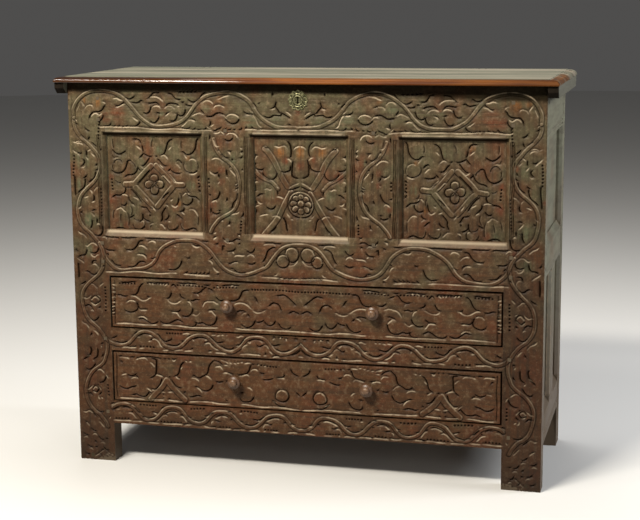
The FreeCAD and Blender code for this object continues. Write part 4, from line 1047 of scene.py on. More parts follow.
MUNTIN = {
    "vines": """
213,139 214.5,144.5 216.5,149.5 219.5,154 223.5,158 227.5,161.3 231,164.8 234,168.5 236.7,173 238.5,178.5
239.3,184 239.3,190 238.7,196 237.3,202 235,207 232,211 228,214.3 224,217 220,220 216.5,224 213.5,228
211.5,232
""",
    "darks": """
208.5,134.5 208.6,137 208.4,139.5/218,149 219,149.8 219.5,150.2/221.5,153 223,155 225,156.7 227,157.4
228.5,157/228,150.3 229.5,150.6 231.5,150.3/231.6,158.5 231.5,160.7/240.5,151.8 241.5,151.2
242,150.5/239.5,157.3 241,157 242,155.8/241.3,169.7 242,168.5/213,172 214.5,172.9 216.3,172.6
217.7,171.6/225,170 225,173 225.3,175.3 226.5,177/228.5,167.5 229.5,166.3/217.5,174 218,176.5
219,178.3/218.3,191 218.6,192.5 218,194.5 216.8,197 215,198.4 213,199.3 211.5,200.2/225.7,197.3
225.4,199 224.6,200.8/236.5,193 236.7,196 236,198.8 234.5,200.3 232.5,202 231.3,204 230.5,206.5
229.7,208.8/235,188.2 236.5,188.3 238,187/210.3,208 210.6,210.5 210.5,213/212.7,212 214.5,213.2
216.5,214 218.3,213.7 219.5,212.5/218.5,210.3 220.3,210.3/229.5,221 229.4,223.3 228.5,224.7/
242.5,212.5 242,215 240.8,216.7/238.3,233.3 239.3,233.8 240.3,233.3/213.2,237.3 214.5,236.6
216.3,235.8/209.3,193.5 211,194.3/224,139 227,140.5 230,140 232,138/234,186 236,185.5 237.5,184
""",
    "lights": """
212.5,139.5 213.7,141 214.5,143.5 215.5,145.5 217,146.5 219,146.2/220,131.5 222,133 223.5,134.5/
212,159.5 214,158.5 216.5,158 219,158.7 221.5,160.5 223.5,162.5/228,151.5 229.5,152.7 230.5,154.3/
210.5,171.3 212,173.2 214,174.5 215.5,175.7/229.3,169.8 231,172 232.5,173.7 234,175.3 234.8,177/
240.5,148 241.8,149.3/241,153 242,154.5/234.5,186 236,184.8 237.3,184/225.5,177.5 226.7,178.5/
218,183.5 219.5,181.7/213,133 215,133.3 217.5,132.8 219.5,131.5/211.5,202 213.5,200.7 215.5,200.2
217,201.5/230.5,215 232.5,214.2 234.5,213.6 236.5,213.3 238.5,212/222.3,222 223.7,221.5/228.3,226.3
229.5,225.5 230.7,226/239,235.2 240,236/214.5,233.7 216.5,232.8/213.3,239.5 214.5,238 216.5,237.3/
235.5,190 235.8,191/226,135 229,133.5 233,134 236,136 238,139
""",
    "rows": """
209,177 209.2,188/241.3,220 241.3,232
""",
    "red": "221,170,9 221,182,9 213,204,9",
    "green": "232,160,10 228,215,12",
}
lower_rails = MIDDLE_RAIL, DRAWER_RAIL, BOTTOM_RAIL
print("strokes on the lower rails", [len(points_of(sketch["darks"])) for sketch in lower_rails])

# %% Sketch of the panels
OUTER_PANEL = {
    "cuts": """
153.7,184.5 150.4,181 150.8,176.8 153.7,175.4 156.6,176.8 157,181 153.7,184.5/153.7,184.5 157.4,181.8
161.6,182.4 162.8,185.2 161.4,187.8 157.2,188 153.7,184.5/153.7,184.5 157,188.4 156.6,192.8 153.7,194.4
150.8,192.8 150.4,188.4 153.7,184.5/153.7,184.5 150,188 146,187.8 144.6,185 146,182.2 150,181.8
153.7,184.5
""",
    "darks": """
112.3,148.5 114,150.5 116,152.3 118,153.2 120,153.4 122,152.5 124,151.3 125.3,150.2/138.3,157.5
139.5,156 141,154 142.3,152.5/142.3,152.3 144,153.5 146.5,154.8 149,155.8 151.5,155.6/132.5,138.5
136,138.4 138.5,139.3 140,141 140.8,143.5/140.3,145 140.8,149 142,152/148.7,157 147.3,159 145.8,161.5
144.5,163.3 143,165 141.3,165/112,169 113.5,171 116,172.3 119,172.8 121.5,172 123.5,170.3 125,167.5
125.8,164.5 126.5,162 128,160.5 130,160.5 131.5,161.5/124.5,176.8 126.5,175.2 129,174.7 131.5,174.6
134,173.5 135.8,171.5 136.7,169 137.3,167/137.5,167.3 139.5,169.5 141,170.7/171.5,138.8 169.5,139.5
167.5,141 166,143.3 165.2,146 164.7,149 164,152 163.5,153.5 162.5,154.5 160.5,155.3/155.3,155.5
157.5,156.3/158,158.7 159.7,159.8 161.3,161.5 163,163.8 165,165.3 167.3,165.5/167.8,171.3 169.5,169.8
171,168.3/176.3,160.8 177,159.7 178.5,159.5 180.3,160.5 181.7,162 182.7,163.7/180.8,151.4 182.5,151.3
184,152.3 185.7,153.8 187.5,154.5 190,154 192,152.8 193.5,150.8 194.4,148.5 194.8,146 195.2,141
197.3,137.5/171.5,169.7 173.5,171.5 175.5,172.5 178.5,172.8 181,172.5/189,172.5 191,172.3 193,172.6
195,171.8 196.8,170.3/196,177.5 197.5,176.8 198.8,175.3/198,186.3 199,185/198.3,191.5 199.5,190.3/
111.8,197.3 113.3,195.8 115,194.9 117.3,194.7 119.5,194.7 121.3,193.8 123,193 124.2,191.5 124.9,189.5
125,187/121,204 122.5,205.3 124,205.2 125.3,203.8 125.7,202.3/129.3,196 129.5,199 131,201 133,203
135,204.5/141,205.3 143.5,206.2 145.5,206.3 147,207 148.3,209 149.7,211.5 151,213/128.8,217.8
130.5,216.5 132.3,215.3 133.7,214.3/141.2,213.5 141.7,215.5 141.6,218.5 140.5,220.5 139,221.6/
142.3,216.5 143.7,218.5 145.5,220 147.5,221 149.5,221.7/148.7,214.5 148.9,217/114.8,228.5 116.5,227.3
119,226.7 121.5,227 123.5,227.8 126,229/134.5,228 136,229 138.5,229.5 141,229.3 143,228.3 144.3,226.5/
185,192 187,194.3 189,196 191,196.4 193.5,196.6 195.5,197.2 197.5,198.8 199.5,200.5/178.2,198 178,201
177.5,203.5 176,205.3/183,203.5 184.5,204.7 186.5,205.2 188.5,204.3 190,202.5 190.6,200.5 190.2,198.5/
183.7,208.5 183.3,210.5 182,211.3 180,211.6/177,214 179,215.2 181,217 182.7,218.5/163.8,219.8
165.5,219 167,217.8 168,216.3 168.3,214.5/165.5,206.5 164.3,208 162.5,210.5 161.5,212.5 161,214.5
161.5,217 160.8,220 160,222/170,229.5 172.5,229.7 174.7,229 176.5,227.8 177.8,226/184.5,230 187,229.8
189.5,229 191.5,228.2 193.5,228 195.5,228.7 197.3,230/137.3,182.8 143,176.8 149.3,169.3/131.5,188
137,194 142.5,201.5/161.5,197.8 164,195 168.5,191.5
""",
    "softs": """
112.3,139 112.5,144 113,148.5/140,146 140.8,149.5 141.5,152/112,163 113.5,160.5 116,158.8 119,159
121.5,161 122.5,164/111.3,164 111.8,168 113.5,171/130.5,161 133,163 135.3,165.5 136.3,168.5/
185,162.5 184.5,166 185.5,169.5 188,171.5 191,172.2/197,163 197.8,166.5 197,170/180,141 179.5,145
180.3,149/133.8,224 134.5,227 137,229 140,229.3 143,227.5 144,224.5 143,222/149.3,229.5 149.5,227
151,225/168,225 168.5,228 171,230 175,230 177.5,227.5 178,224.5/181.5,223 182,226.5 184,229.3 187,230/
197.5,216 198,221 197.5,226/113.5,210 112.5,214 112.3,219/126.5,213 128,217 128.2,222 127.5,226/
120,214 119.5,218 119.5,222/130,206 131.5,211 130,216/134,217 136,219.5 139.5,219.8/178.5,193
180,196 180.2,200/112,153.5 113,156 114.5,157.5/152,139 150.5,143 150.3,148/186,188 187.5,191
190,192.5/116,180 119,182 121.5,181.5/171,176 173,178.5 176,179.5
""",
    "lights": """
135.5,145.5 137.3,147 139.5,149/140.5,166 142.5,167.8 144.3,168.5 146,166.8 149.8,162.5/124.5,182
132.3,181.3/161,156.3 163,155.5 165,156 166.8,157.5 168.3,159.2/160,164.5 162,166.5 164,168.3/
167.5,150.3 169,148.2 170.3,147/176.5,164 178.3,165 179.8,166.8 181,168.5/169,173.8 171,176 173,178.3
175,180.8 176.5,182.3 183,182.3/161.5,176.5 163.5,176.2 165.5,178 167.5,180.3 170,183/183.5,154.5
185.5,157 187,159/189,161 191,159.8 193.5,160 195.5,161 197,162.8/189.5,174 192,174.2 194.5,173.5
196.8,172.3/120.5,194.7 123,194.3 125.5,194.5 127.8,195.8/133.5,196.3 135.5,197.3 137.5,198.2
139,199.2/131.5,204 133.5,204.8 135,205.8/116,210.5 118,209.2 120.3,208.5 122,209.3 123.7,211
126,212.3/141,221.3 143,221.8 143.8,223.3/145.3,197.5 146.8,199.5 148,201/151.5,205.8 153.5,208.3
155.5,210.7/116,229.7 119,229.2 122,229.5/129.5,229.5 132.5,229.5 135,230.3/150,226 151.5,224.7
153,224.3/165.5,204.5 167,205.3 168.7,206/171,200.5 173,199.3/172,204.8 174,206.5 176,207.3 178,206/
182,212.7 183.5,213.8 185,215/188.8,210.5 190.5,210 192.5,210 194.3,211 196,212.7 198.3,216.5/
159.5,224.7 161.5,224.8 163,226 165.5,229/168.3,221.3 170.5,221.3/
182,196 184,193.5 186.5,193.3 188.3,194.8/149.3,226.5 150.5,224.8 152.5,224/113,158.5 115.5,157.5
118,157.8
""",
    "bands": """
151,165.5 135,183/156,165.5 172,183/135.5,187 152,205/172,187.5 157,206/125.5,184 134,184/
174,184.5 182,184.5
""",
    "rows": """
112,178 113,191/198,175 198.5,192
""",
    "red": "175.5,208,11 113,199,13 127,225,9 140,147,8 112,177,8",
    "ochre": "137.6,142,8 188,158.5,7 180,204,7",
    "green": "119.5,225,9 160,150,10 190,185,12",
}
CENTRE_PANEL = {
    "cuts": """
300.4,191.8 296,192.7 292,195.3 289.3,199.3 288.2,204.5 289,209.5 291.5,214 295.5,217 300.4,218.2/
295.3,205 294.5,206.9 292.6,207.7 290.7,206.9 289.9,205 290.7,203.1 292.6,202.3 294.5,203.1 295.3,205/
297.6,199.5 296.8,201.4 294.9,202.2 293,201.4 292.2,199.5 293,197.6 294.9,196.8 296.8,197.6 297.6,199.5/
297.6,210.5 296.8,212.4 294.9,213.2 293,212.4 292.2,210.5 293,208.6 294.9,207.8 296.8,208.6 297.6,210.5/
300.4,200 298.5,199.2 297.7,197.3 298.5,195.4 300.4,194.6/300.4,215.5 298.5,214.7 297.7,212.8
298.5,210.9 300.4,210.1/300.4,208.2 298.2,207.3 297.2,205 298.2,202.7 300.4,201.8
""",
    "darks": """
254,152 254.8,153.8 256.3,155 257.5,154.8/262.5,146 264.5,147 267,147.8 269,149/286,142 288,144
289.5,147 290,152 289.5,155.5 288.5,157/254.2,162.5 254.3,164.8/255,166.8 257,168 259,168.6 261,168.9
262.8,168.3/254.8,176 254.8,178/281,170.5 283.5,171.2 286,171 288.5,170 289.8,168.8 290,165/
262.5,172 264,175.5 267,178.3 269.5,179.5 272,179.5 274,178.3 276,175.8 276.6,172.5/291.8,160 291.5,168
291.8,174 293,176.5 296,178 299,178.7/254.5,184 254.6,189 255.5,190.5 257,191/256.5,196.5 258,195
260,193.7 261.5,193.4 263.3,193.3/254.5,201 255,203 255.5,204.8/254.5,209.5 255,212 255.3,214/
288.5,190.8 292,189.2 296,187.2 299.5,185.5/276,191 277,194 276.8,196/281.5,218 283,219 284.3,221.5
285,225 285.5,228 286.5,231.3/270.5,231.5 272.5,230 274,228.5 275,226.5 275.7,225/266,206 269,208
272,207.5 275,205
""",
    "lights": """
255,159.5 255.8,157.5 257,156.5 258.5,156.8/286.5,158 288.5,158.5 290,159.7 291.3,161.2/293,150
294.5,148.2 297,147 299.5,146.6/255.5,182 256.5,180.8 258,181/289.5,188.5 292,186.5 295,184.5
299,182.5/257.5,201.3 258.5,203 260,203.8 261.5,203.5/276.5,197 279,197.3 281.5,198.3 283.5,199.5/
254.5,207.5 256.5,206.3 258.5,205.5/265,189.3 267.5,189 269.5,190.3 271.5,189.8/277,187.3 278.3,189/
260,216.5 264,214.8 268,214/271.5,216 275,215.3 278,216 280,217.8/287,214 288.5,216 290,218/
290.5,219.5 293,220.3/274,146.5 278,147.5 282,146.3 285,146.5 287,149
""",
    "bands": """
264.5,149.5 268.5,154 272.5,159.5 276.5,166 280.5,173.5 284.5,181 288.5,187.5/264,236 272,226 281,211
287,200 291,193
""",
    "vines": """
254,168.5 257.5,173 262,177 267,180.3 271.5,182.8 275,186 278,190
""",
    "rows": """
254,184 254,206
""",
    "red": "299,166,11 262,176,13 285,160,9",
    "ochre": "298.5,152.5,15 279,152,12",
    "green": "270,195,12",
}
print("strokes on the panels", len(points_of(OUTER_PANEL["darks"])), len(points_of(CENTRE_PANEL["darks"])))

# %% Sketch of the drawer fronts
UPPER_DRAWER = {
    "darks": """
121,281 122.5,281.5 124,281.8 126,281.5 128,281.8 130,281.6 132,281.3 134,281.7 135.5,281.5/148,282.3
149.5,282.5 152,282.5 154,283 157,282.3 160,282.3 164,282.3 169,282.5/142.7,283.5 141,284.2 139.5,285.7
138.3,287.3 137.5,289.5 136.5,291.5 135,293.2 133.5,294 131.5,294.2 130.3,294.3/116.3,294.5 118.5,294.4
120.5,294.7 122.3,295.5 124.3,295.7 126.3,295.2/135,302.8 136.3,304.3 137,306.5 136.8,308.7 135.5,310.5
133.5,311.7 131,312.3 128.5,312 126.3,311 125.5,310/137,304.5 138.7,306.7 140,308 142,308.5 144.5,308.6
147.3,308.3/139.3,318.2 140.5,318 142.3,317.4 144.3,317.7 146.5,319 148.5,320.5 150,321.7 152,322.9
154,322.9 156,322.3 158,321.2/160.8,321 162,322.3 164,323.4 166.5,323.6 169,323.3 171,322.5 173,321.2
175,320 177,319.2 179.5,319.6 181.5,320.8 183.5,322/147,296 148,297.3 149.5,297.5/165.5,298
167.5,297.5 169,296 170,294 170.5,292/171,286.3 172,284.8 173,284.2 174.5,285 176,286.8 177,288/
179,283.2 181.5,283.7 185,283.8 189,283.5 192,283.8 195,283.7 197.5,284.3/180.5,293.5 181,295.5
182.5,297 184.7,298/187.5,300 188.7,300.2/190.5,300.3 192.5,301 194.3,300.2 195.5,299.8 197.5,300.2
199.5,300.3/206,286 204.5,287 203,288.7 201.5,290.5 200.3,292 198.7,292.8 197,293.6 195,293.4 193,293.3/
204,284.2 206.5,284.4 209,284.2/207.5,287.3 209.5,288.2 211.5,289.2 213,290.5/216,296.5 217.5,298
219.5,299.7 221.5,300 223,299.6/170.5,310.3 172,310.6 174.5,311 176.5,310.7 178.3,309.8 179.5,308.5/
182,314.3 183.5,315.2 185.5,315.5 187.5,315.3 189,314.3 190.7,313 191.7,311 191.8,308.5/207.3,310.3
208.5,309.5 210.5,308.9 213,308.8 215.5,309.2/194,321 195.5,321.8 198,322.4 200.5,322 202.5,322
204.5,323.2 206.5,324.2 209,324.5 211.5,324.2 213.3,322.8 214.5,320.5 215,318 215.2,316/188.5,325.3
189.8,326.2 191.8,326.1 193.8,325 194.7,323.5 195,321.5/216,285 218,285.3/222,285.3 225,285.3
228,285.2 231,285.3 234,285.3 236,285.6 239,285.3/248.5,289.5 246.5,289.7 244.5,289.9 242.5,290.7
241,292.3 240.3,294.5 239.2,296.7 238,298.5 236,299.7 233.5,300.5 231,300.5 229.5,300.3/235.5,312.3
237,311.2 239,310.5 241.5,310.3 243.5,310.6 245.5,311.7/247.5,313.7 248.7,315.3 249.5,316.5/
241.5,324.5 243.5,326 245.5,327 247.5,327.3 249.5,326.7 251.5,325.3 253,323.5 253.8,321.5 254.8,320.5/
256,321.3 257.5,321.9 259.5,321.7 261.5,321 263.5,319.7/264.5,321 266,323.2 268,325 270,325.6
272.5,324.8 274.3,323 275,320.8/254,296 255.5,297.3 257,300.5 258,302/268,306 273,303 279,305 282,311/
279,323 283,328 288,329 291,327/277,296 284,295 290,299 296,305/288,313 293,311 299,314
""",
    "lights": """
130,295.5 132.5,295.6 135,296.3 137.3,297.8 139.5,299.3 141.5,300.3 144,300.6 146.5,300 148.5,298.7
150.5,298.2/117,323.3 125,323.4 135,323.8 145,324.3 157,324.9/161.5,325.3 170,325.6 180,326 190,327
200,327.2 210,327.7 218,327.9/111.5,284 115,285/111.8,287.5 114,288.3/112,291.7 115,292/112,297.2
115.3,297.8/112,302.3 115,302.5/111.3,306.6 115,306.5/111.3,309.6 113,309.5/111.3,312.6
115.3,312.4/149,283.5 150.5,284.8/152,283.7 153.5,285/160.5,284 161.5,285/163,284.3 164,285/
165,285.8 167,284.3/140.5,309.8 143.5,309.7 147,310/126.5,302.5 129,300.6 132,300.4 135,301.5/
139,317 141,316.2 144,316.3 146.5,317.8 148,319.3/167,300 168.5,301.5 171,302.6 174,302.8 176.5,302.3
178.5,301.2 181,300/197,295.3 198,296 198.7,297/202,307.5 203,305.5 204.5,303.5 206.5,302.3 209,302
212,301.7 214.5,302.2 216.5,303.5 218.5,304.3/207.5,311.7 209.5,311.3 211,311.5 212.5,313 214,314.5
215.3,316/171,312.2 174,312.1 176.5,312.7 178,314.3 179.5,316.3 181,317.5/191.5,314.6 193.5,314.8
195,315.6 196.5,315.5 198,314.3 199.5,313/187.5,301.5 189.5,302.5 190.7,304 191.3,306/180.5,285.3
182,286/185,286 188,285/191,285.5 193,285.5/196,285.5 198,285.7/216.5,286.5 218.5,286.9/
234,304.5 236,303.5 239,302.9 242,302.9 245,303.8 248,305.7 250.3,308 251.7,309/252.5,310.3 254,311.5
256.5,312.7 259,312.8 261.5,312.3 264,311.2 265.5,310.5/241,315.5 243,313.7 245.5,312.9/236,328.8
240,329.5 246,329.7 254,330 262,330.3 272,331.2 284,331.5 300,332.3/231.5,286.7 233,286.5/235,287.5
236,287.2
""",
    "rows": """
118,283 136,284/146,283.5 170,284.5/176,286 204,287/212,287.5 238,288.5/250,289.5 300,292/
114,287 114,316
""",
}
LOWER_DRAWER = {
    "bands": """
166.5,380 162.5,386 158.7,390.3 154.8,394.5 150.5,399/168,381 172,387 176,391.5 180.5,396 185,400
""",
    "cuts": """
281,391 286,393 288,398 285,402 280,402 276,399 277,394 281,391
""",
    "darks": """
118.4,356 121.6,356/129,356.6 134,356.6/136.4,357.4 138,357.2/140,356.6 146,356.7 154,357.2
158,357.8 160.4,358/163.6,358.2 164.8,358.3/167.6,358.4 169.2,358.4/120,360.5 121.5,361.3
122.5,362.8/127.3,373.5 129,374.5 131.5,375.3 133.5,374.9 134.8,374.2 136.2,373.3/136.8,375.3
138,376.5 139.3,377.7/120.5,385.3 122.5,386.8 125,387.7 127.5,388 129.3,387.3 131.5,386.5 134.3,386
136.3,385.3/131.3,394.5 133.3,394.1 136,393.6 138,394.4 139.6,395.4 142,395.8 144.4,395.8 146,394.8
147.2,393.6 148.4,392.2 149,390.8/149.8,390.3 151,391.5 152.2,392.6/151.2,359.5 154,360.4 155.5,361.6
155.6,366 155.7,370 155.2,374.4 154,375.6 152.4,376.6 150.5,377.6/158.4,373.2 160.4,374.8 162.4,375.6
164.4,376.2/168.6,376.3 170.4,376.7/161.5,378 160.5,380.8 159.6,383.5 157.6,386 156,387.6 154,388.2
152.4,387.4/163,393.4 164.2,393.8/163,397.4 164.2,397.8/167.8,398.6 169.5,398.2/171.6,358
173.6,359 176,358.4/183.8,361.8 182.4,362.6 181.2,364 180.2,365.6 179.4,368 178.6,371.2 178,373.2
176.8,374.8 174,376.2/192.4,376 194,374.4 195.6,375.6 197.6,376.8 199.6,377.2 201.6,376 203.6,374.8
205.6,374 206.6,372.4 207.2,370 207.6,367.2 208.8,364.8 210.4,363.2 212,361.6 213.6,360.6/213.6,360.6
217.2,361.6 219.6,362.8 221.6,364.8 222.4,366/216,380.8 218,381.6 220.4,381.6 222.4,381.2/226.4,380.4
228,381.6/194.4,386.2 196,386.4 198,387.4 200,388.8 202,389.8 204.8,390.6 207.2,390.2 209.2,389.2
210.8,388 212,385.6 212.4,384/189.6,396 191.6,396.6 194,396 196.4,395.4 198.8,395.6 201.6,396.6/
183.2,392.8 184.6,391.4/172.4,380 174.4,383.6 176.4,386 178.8,387.6 181.2,387.8/226.5,400 227.8,401/
178.8,377.2 180.4,378/227.6,372 230,373 232.8,373.4/238,373.4 239.6,374 242.8,373.2 245.6,372.8
247.6,371.4 248.8,369.6 250,366 251.6,365.2/252,364 254,364.4/260,372.8 262,373.8 264.4,373.8/
262.8,379.8 266,380.4 270,379.8 272.8,378.8/277.2,377.4 280,377.6 282.4,377 284,375.6 284.2,374/
240.8,399.2 242,401.6 244.4,402.4 248.4,401.8 250.8,400.4 252.4,398.4 253.6,396/240.4,392.8 243.6,392.6/
272.8,400.4 276,404 278.8,406.4 282,407 285.2,406.6/292,369 294,373 299,376/296,392 300,396
""",
    "lights": """
118.8,358 121.2,357.8 126,358 128.4,358.8/135.6,359.6 139.6,358.6 144.4,358.4 146.8,359.4 148,360.6/
150.5,362.8 152.4,364.4 154,366.2 154.9,367.4/131.2,378.4 133.6,377.6 136.4,377.6 138.8,378.8/
121.6,374.4 123.6,373.8 126.4,373.4/155.2,375.6 157.2,375 159.6,375.6 162.4,376.6/152.4,389.2
154,389.8 155.6,389.6/147.6,387.6 150,389.2 152.4,391.2/160.8,391.6 165,392.2/168,392.2 172.8,392.4/
172,360.4 173.6,361.2 175.2,360/185.2,361 186.8,361.8/188.8,361.6 190.8,361.2/180.4,369.2
181.4,368 182.4,366.8/215.2,367.6 219.6,367.4 221.2,368.8 222.4,370.2/222.8,373.6 226,373.2 230,374.2
232,375.6/223.2,365.6 226.8,365.6/191.2,378.2 194,378 196.4,378.8 198.4,380 199.4,381.2/205.6,375.6
208,376.4 210,378 211.6,379.6/176,376.8 177.2,378 179.6,379.6/196.8,388 198.8,389.2 200.8,391.2
202.4,393.6/220.4,360.8 225.2,362.4 227.6,363.6/228.4,362.6 231.2,363.6/232.8,362.6 235.6,363.6/
236.4,362.6 238.8,362.4/240.8,362 243.2,362.2/244.4,363.4 248,363.2 251.2,363.6/250.4,371.6
252,370.2 255.6,370 258,371.8/239.2,375.6 242.8,375 245.6,374.2 247.6,374.6 249.2,376.2/257,365.6
259,365.4/263.5,366.4 265.5,366.8/277.6,378.8 282,378.4 285.2,378.6/247.6,387.2 250,388 252.4,390/
272.8,401.6 276.8,404/120,397.5 126,398 134,398.6 144,399.4/152,399.6 160,399.8 164,400.2/
167.6,400.4 174,401 182,401.8/189.5,401.6 194,401.8 202,402.2 210,402.6 216,403.4 224,404 230,404.4/
241.2,405.4 246,405.4 254,405.8 262,406.4 270,406.8 276,407.6 280,408.4 286,408.8 300,409.8
""",
    "rows": """
256,365.5 278,367
""",
}
print("strokes on the drawers", len(points_of(UPPER_DRAWER["darks"])), len(points_of(LOWER_DRAWER["darks"])))

# %% [markdown]
# ## A carved board
# A few functions turn a grid into a board. They lay the strokes on, cut the bevels that the joiner ran round
# the panels, work out how deep each point lies, extrude the rim back and close it, so that each board is a
# whole piece of wood, and write the wear, the dirt and the painted light and shade on its points for the
# paint to read. A grid with a depth at each point was chosen because the cuts are shallow and never undercut.

# %% Strokes of a sketch
EDGE_SHARES = {"dark": 1.0, "soft": 0.55, "light": 0.55}
CHIP_PITCH = 7.8


def span_of(node):
    """The width and height of a node in millimetres: low x, high x, low z, high z."""
    low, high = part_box(node)
    return low.x / MM, high.x / MM, low.z / MM, high.z / MM


def lay_strokes(carving, sketch, face_y):
    """Lay every stroke of a sketch on a board."""
    def lines(kind):
        return [smooth(on_board(stroke, face_y)) for stroke in points_of(sketch.get(kind, ""))]

    for line in lines("cuts"):
        carving.cut(line)
    for kind, share in EDGE_SHARES.items():
        for line in lines(kind + "s"):
            carving.cut(line, share, kind)
    for line in lines("vines"):
        carving.vine([line])
    if "bands" in sketch:
        carving.vine(lines("bands"), BAND_WIDTH)
    for start, end in lines("rows"):
        carving.chips(start, end, max(2, round(float(np.hypot(*(end - start))) / CHIP_PITCH)))
    for name in TINTS:
        for spots in points_of(sketch.get(name, "")):
            for px, py, radius in spots:
                carving.touch(name, on_board([(px, py)], face_y)[0], radius)


print("the left post is", span_of("post_front_left"))

# %% Bevels round the openings
BEVEL_DEPTH = 11.0
BEVEL_SIDE = 10.0
BEVEL_BOTTOM = 16.5
SCRATCHES = (11.5, 16.0, 20.5)
LINTEL_FROM = 3.0
SIDE_ARRIS = 0.15
SILL_FROM = 0.35
SILL_FADE = 0.3
SILL_LEAST = 0.2
SILL_HEAD = 0.28
SILL_START = 0.05


def opening_bevel(x, z, opening):
    """How deep the bevel round a panel opening cuts at each point of the frame."""
    left, right, bottom, top = opening
    beside = [(left - x) / BEVEL_SIDE, (x - right) / BEVEL_SIDE]
    reach = [*beside, (z - top) / BEVEL_SIDE, (bottom - z) / BEVEL_BOTTOM]
    return BEVEL_DEPTH * np.clip(1 - np.maximum(np.max(reach, axis=0), 0), 0, 1)


def frame_bevels(x, z, openings):
    """The bevels on a board of the frame, its pale sills, the painted shadow under its lintels, and where its
    edges lie level.
    """
    bevel, sill, lintel_shadow = (np.zeros(x.shape) for _ in range(3))
    level_edge = np.full(x.shape, SIDE_ARRIS)
    for opening in openings:
        left, right, bottom, top = opening
        bevel = np.maximum(bevel, opening_bevel(x, z, opening))
        below = z < bottom
        share = bevel[below] / BEVEL_DEPTH
        head = np.clip((1 - share) / SILL_HEAD, 0, 1)
        pale = np.clip((share - SILL_FROM) / SILL_FADE, SILL_LEAST, 1) * head
        sill[below] = pale * (share > SILL_START)
        # Painted shadow under the head of each opening.
        lintel_shadow[(bevel > LINTEL_FROM) & (z > top)] = 1
        level_edge[(z > top) & (x > left) & (x < right)] = 1
    return bevel, sill, lintel_shadow, level_edge


def scratch_mouldings(carving, openings):
    """Fine lines that were scratched beside each opening."""
    for left, right, bottom, top in openings:
        for aside in SCRATCHES:
            for at in (left - aside, right + aside):
                carving.groove(np.array([(at, bottom), (at, top)]))


print("bevel round the openings", BEVEL_DEPTH, "mm deep")

# %% Splintered feet and eased edges
SPLINTER_SEED = 13
SPLINTER_LENGTH = 9
SPLINTER_RAGGED = 5
SPLINTER_FROM = 545
SPLINTER_SPAN = 40
SPLINTER_TOP = 17
SPLINTER_FADE = 5
GAP_SHARP = 1.8


def splintered(x, z, seed):
    """How splintered a foot is, low down on its inner side."""
    inner = np.clip((SPLINTER_FROM - np.abs(x)) / SPLINTER_SPAN, 0, 1)
    ragged = ripple(x, z, seed + SPLINTER_SEED, SPLINTER_LENGTH, SPLINTER_RAGGED)
    return np.clip((SPLINTER_TOP * inner + ragged - z) / SPLINTER_FADE, 0, 1)


def eased_edges(x, z, span, gaps):
    """How far a drawer front is eased back at its edges, by the gaps at its sides, below it and above it."""
    x0, x1, z0, z1 = span
    side, under, over = gaps
    inside = np.min([(x - x0) / side, (x1 - x) / side, (z - z0) / under, (z1 - z) / over], axis=0)
    return np.clip(GAP_SHARP * (1 - inside), 0, 1)


print("splinters up to", SPLINTER_TOP + SPLINTER_RAGGED, "mm")

# %% From a grid to a board
def closed_board(name, places, across, up, back):
    """A grid laid on its carved places, with its rim extruded to the back and closed."""
    deselect()
    bpy.ops.mesh.primitive_grid_add(x_subdivisions=across, y_subdivisions=up, size=1)
    board = bpy.context.object
    board.name = name
    board.data.vertices.foreach_set("co", places.ravel())
    bpy.ops.object.mode_set(mode="EDIT")
    bpy.ops.mesh.select_mode(type="EDGE")
    bpy.ops.mesh.select_all(action="DESELECT")
    bpy.ops.mesh.select_non_manifold()
    bpy.ops.mesh.extrude_edges_move()
    bpy.ops.mesh.edge_face_add()
    bpy.ops.object.mode_set(mode="OBJECT")
    for vertex in board.data.vertices[len(places):]:
        vertex.co.y = back
    bpy.ops.object.mode_set(mode="EDIT")
    bpy.ops.mesh.select_all(action="SELECT")
    bpy.ops.mesh.normals_make_consistent(inside=False)
    bpy.ops.object.mode_set(mode="OBJECT")
    return board


def write_values(piece, values):
    """Write values on the first points of a piece, and nought on the rest."""
    for title, value in values.items():
        layer = piece.data.attributes.new(title, "FLOAT", "POINT")
        rest = np.zeros(len(piece.data.vertices) - value.size)
        layer.data.foreach_set("value", np.concatenate([np.clip(value, 0, 1).ravel(), rest]))


print("grid cells of", CELL, "mm")

# %% Board maker
BORDER = 10.0
WANDER = 1.4
WANDER_SEED = 71
WANDER_LENGTH = 90
UNEVEN = 0.35
UNEVEN_SEED = 9
UNEVEN_LENGTH = 14
PATCH_SEED = 3
PATCH_LENGTH = 40
PATCH_MEAN = 0.8
PATCH_SWING = 0.5
PATCH_LEAST = 0.3
BROWN_SEED = 5
BROWN_LENGTH = 70
BROWN_SWING = 0.35
LOWEST_GREEN = 350
HIGHEST_BROWN = 900
GAP_DEPTH = 5.0
SPLINTER_DEPTH = 1.5
SPLINTER_WEAR = 0.6
SILL_WEAR = 0.75
WORN_STEP = 2.0
HOLLOW_STEP = 1.5
SIDE_CORNER_SHARE = 0.35
LINTEL_SHADOW_DARKNESS = 0.9
# The painted shadow that the lid casts on the top of the front.
LID_SHADOW_DARKNESS = 0.85
LID_SHADOW_FROM = 926
LID_SHADOW_REACH = 9
LID_SHADOW_FALL = 16
LID_SHADOW_SPAN = 550
BLUR_CELLS = 3
BOARD_SMOOTH = math.radians(60)


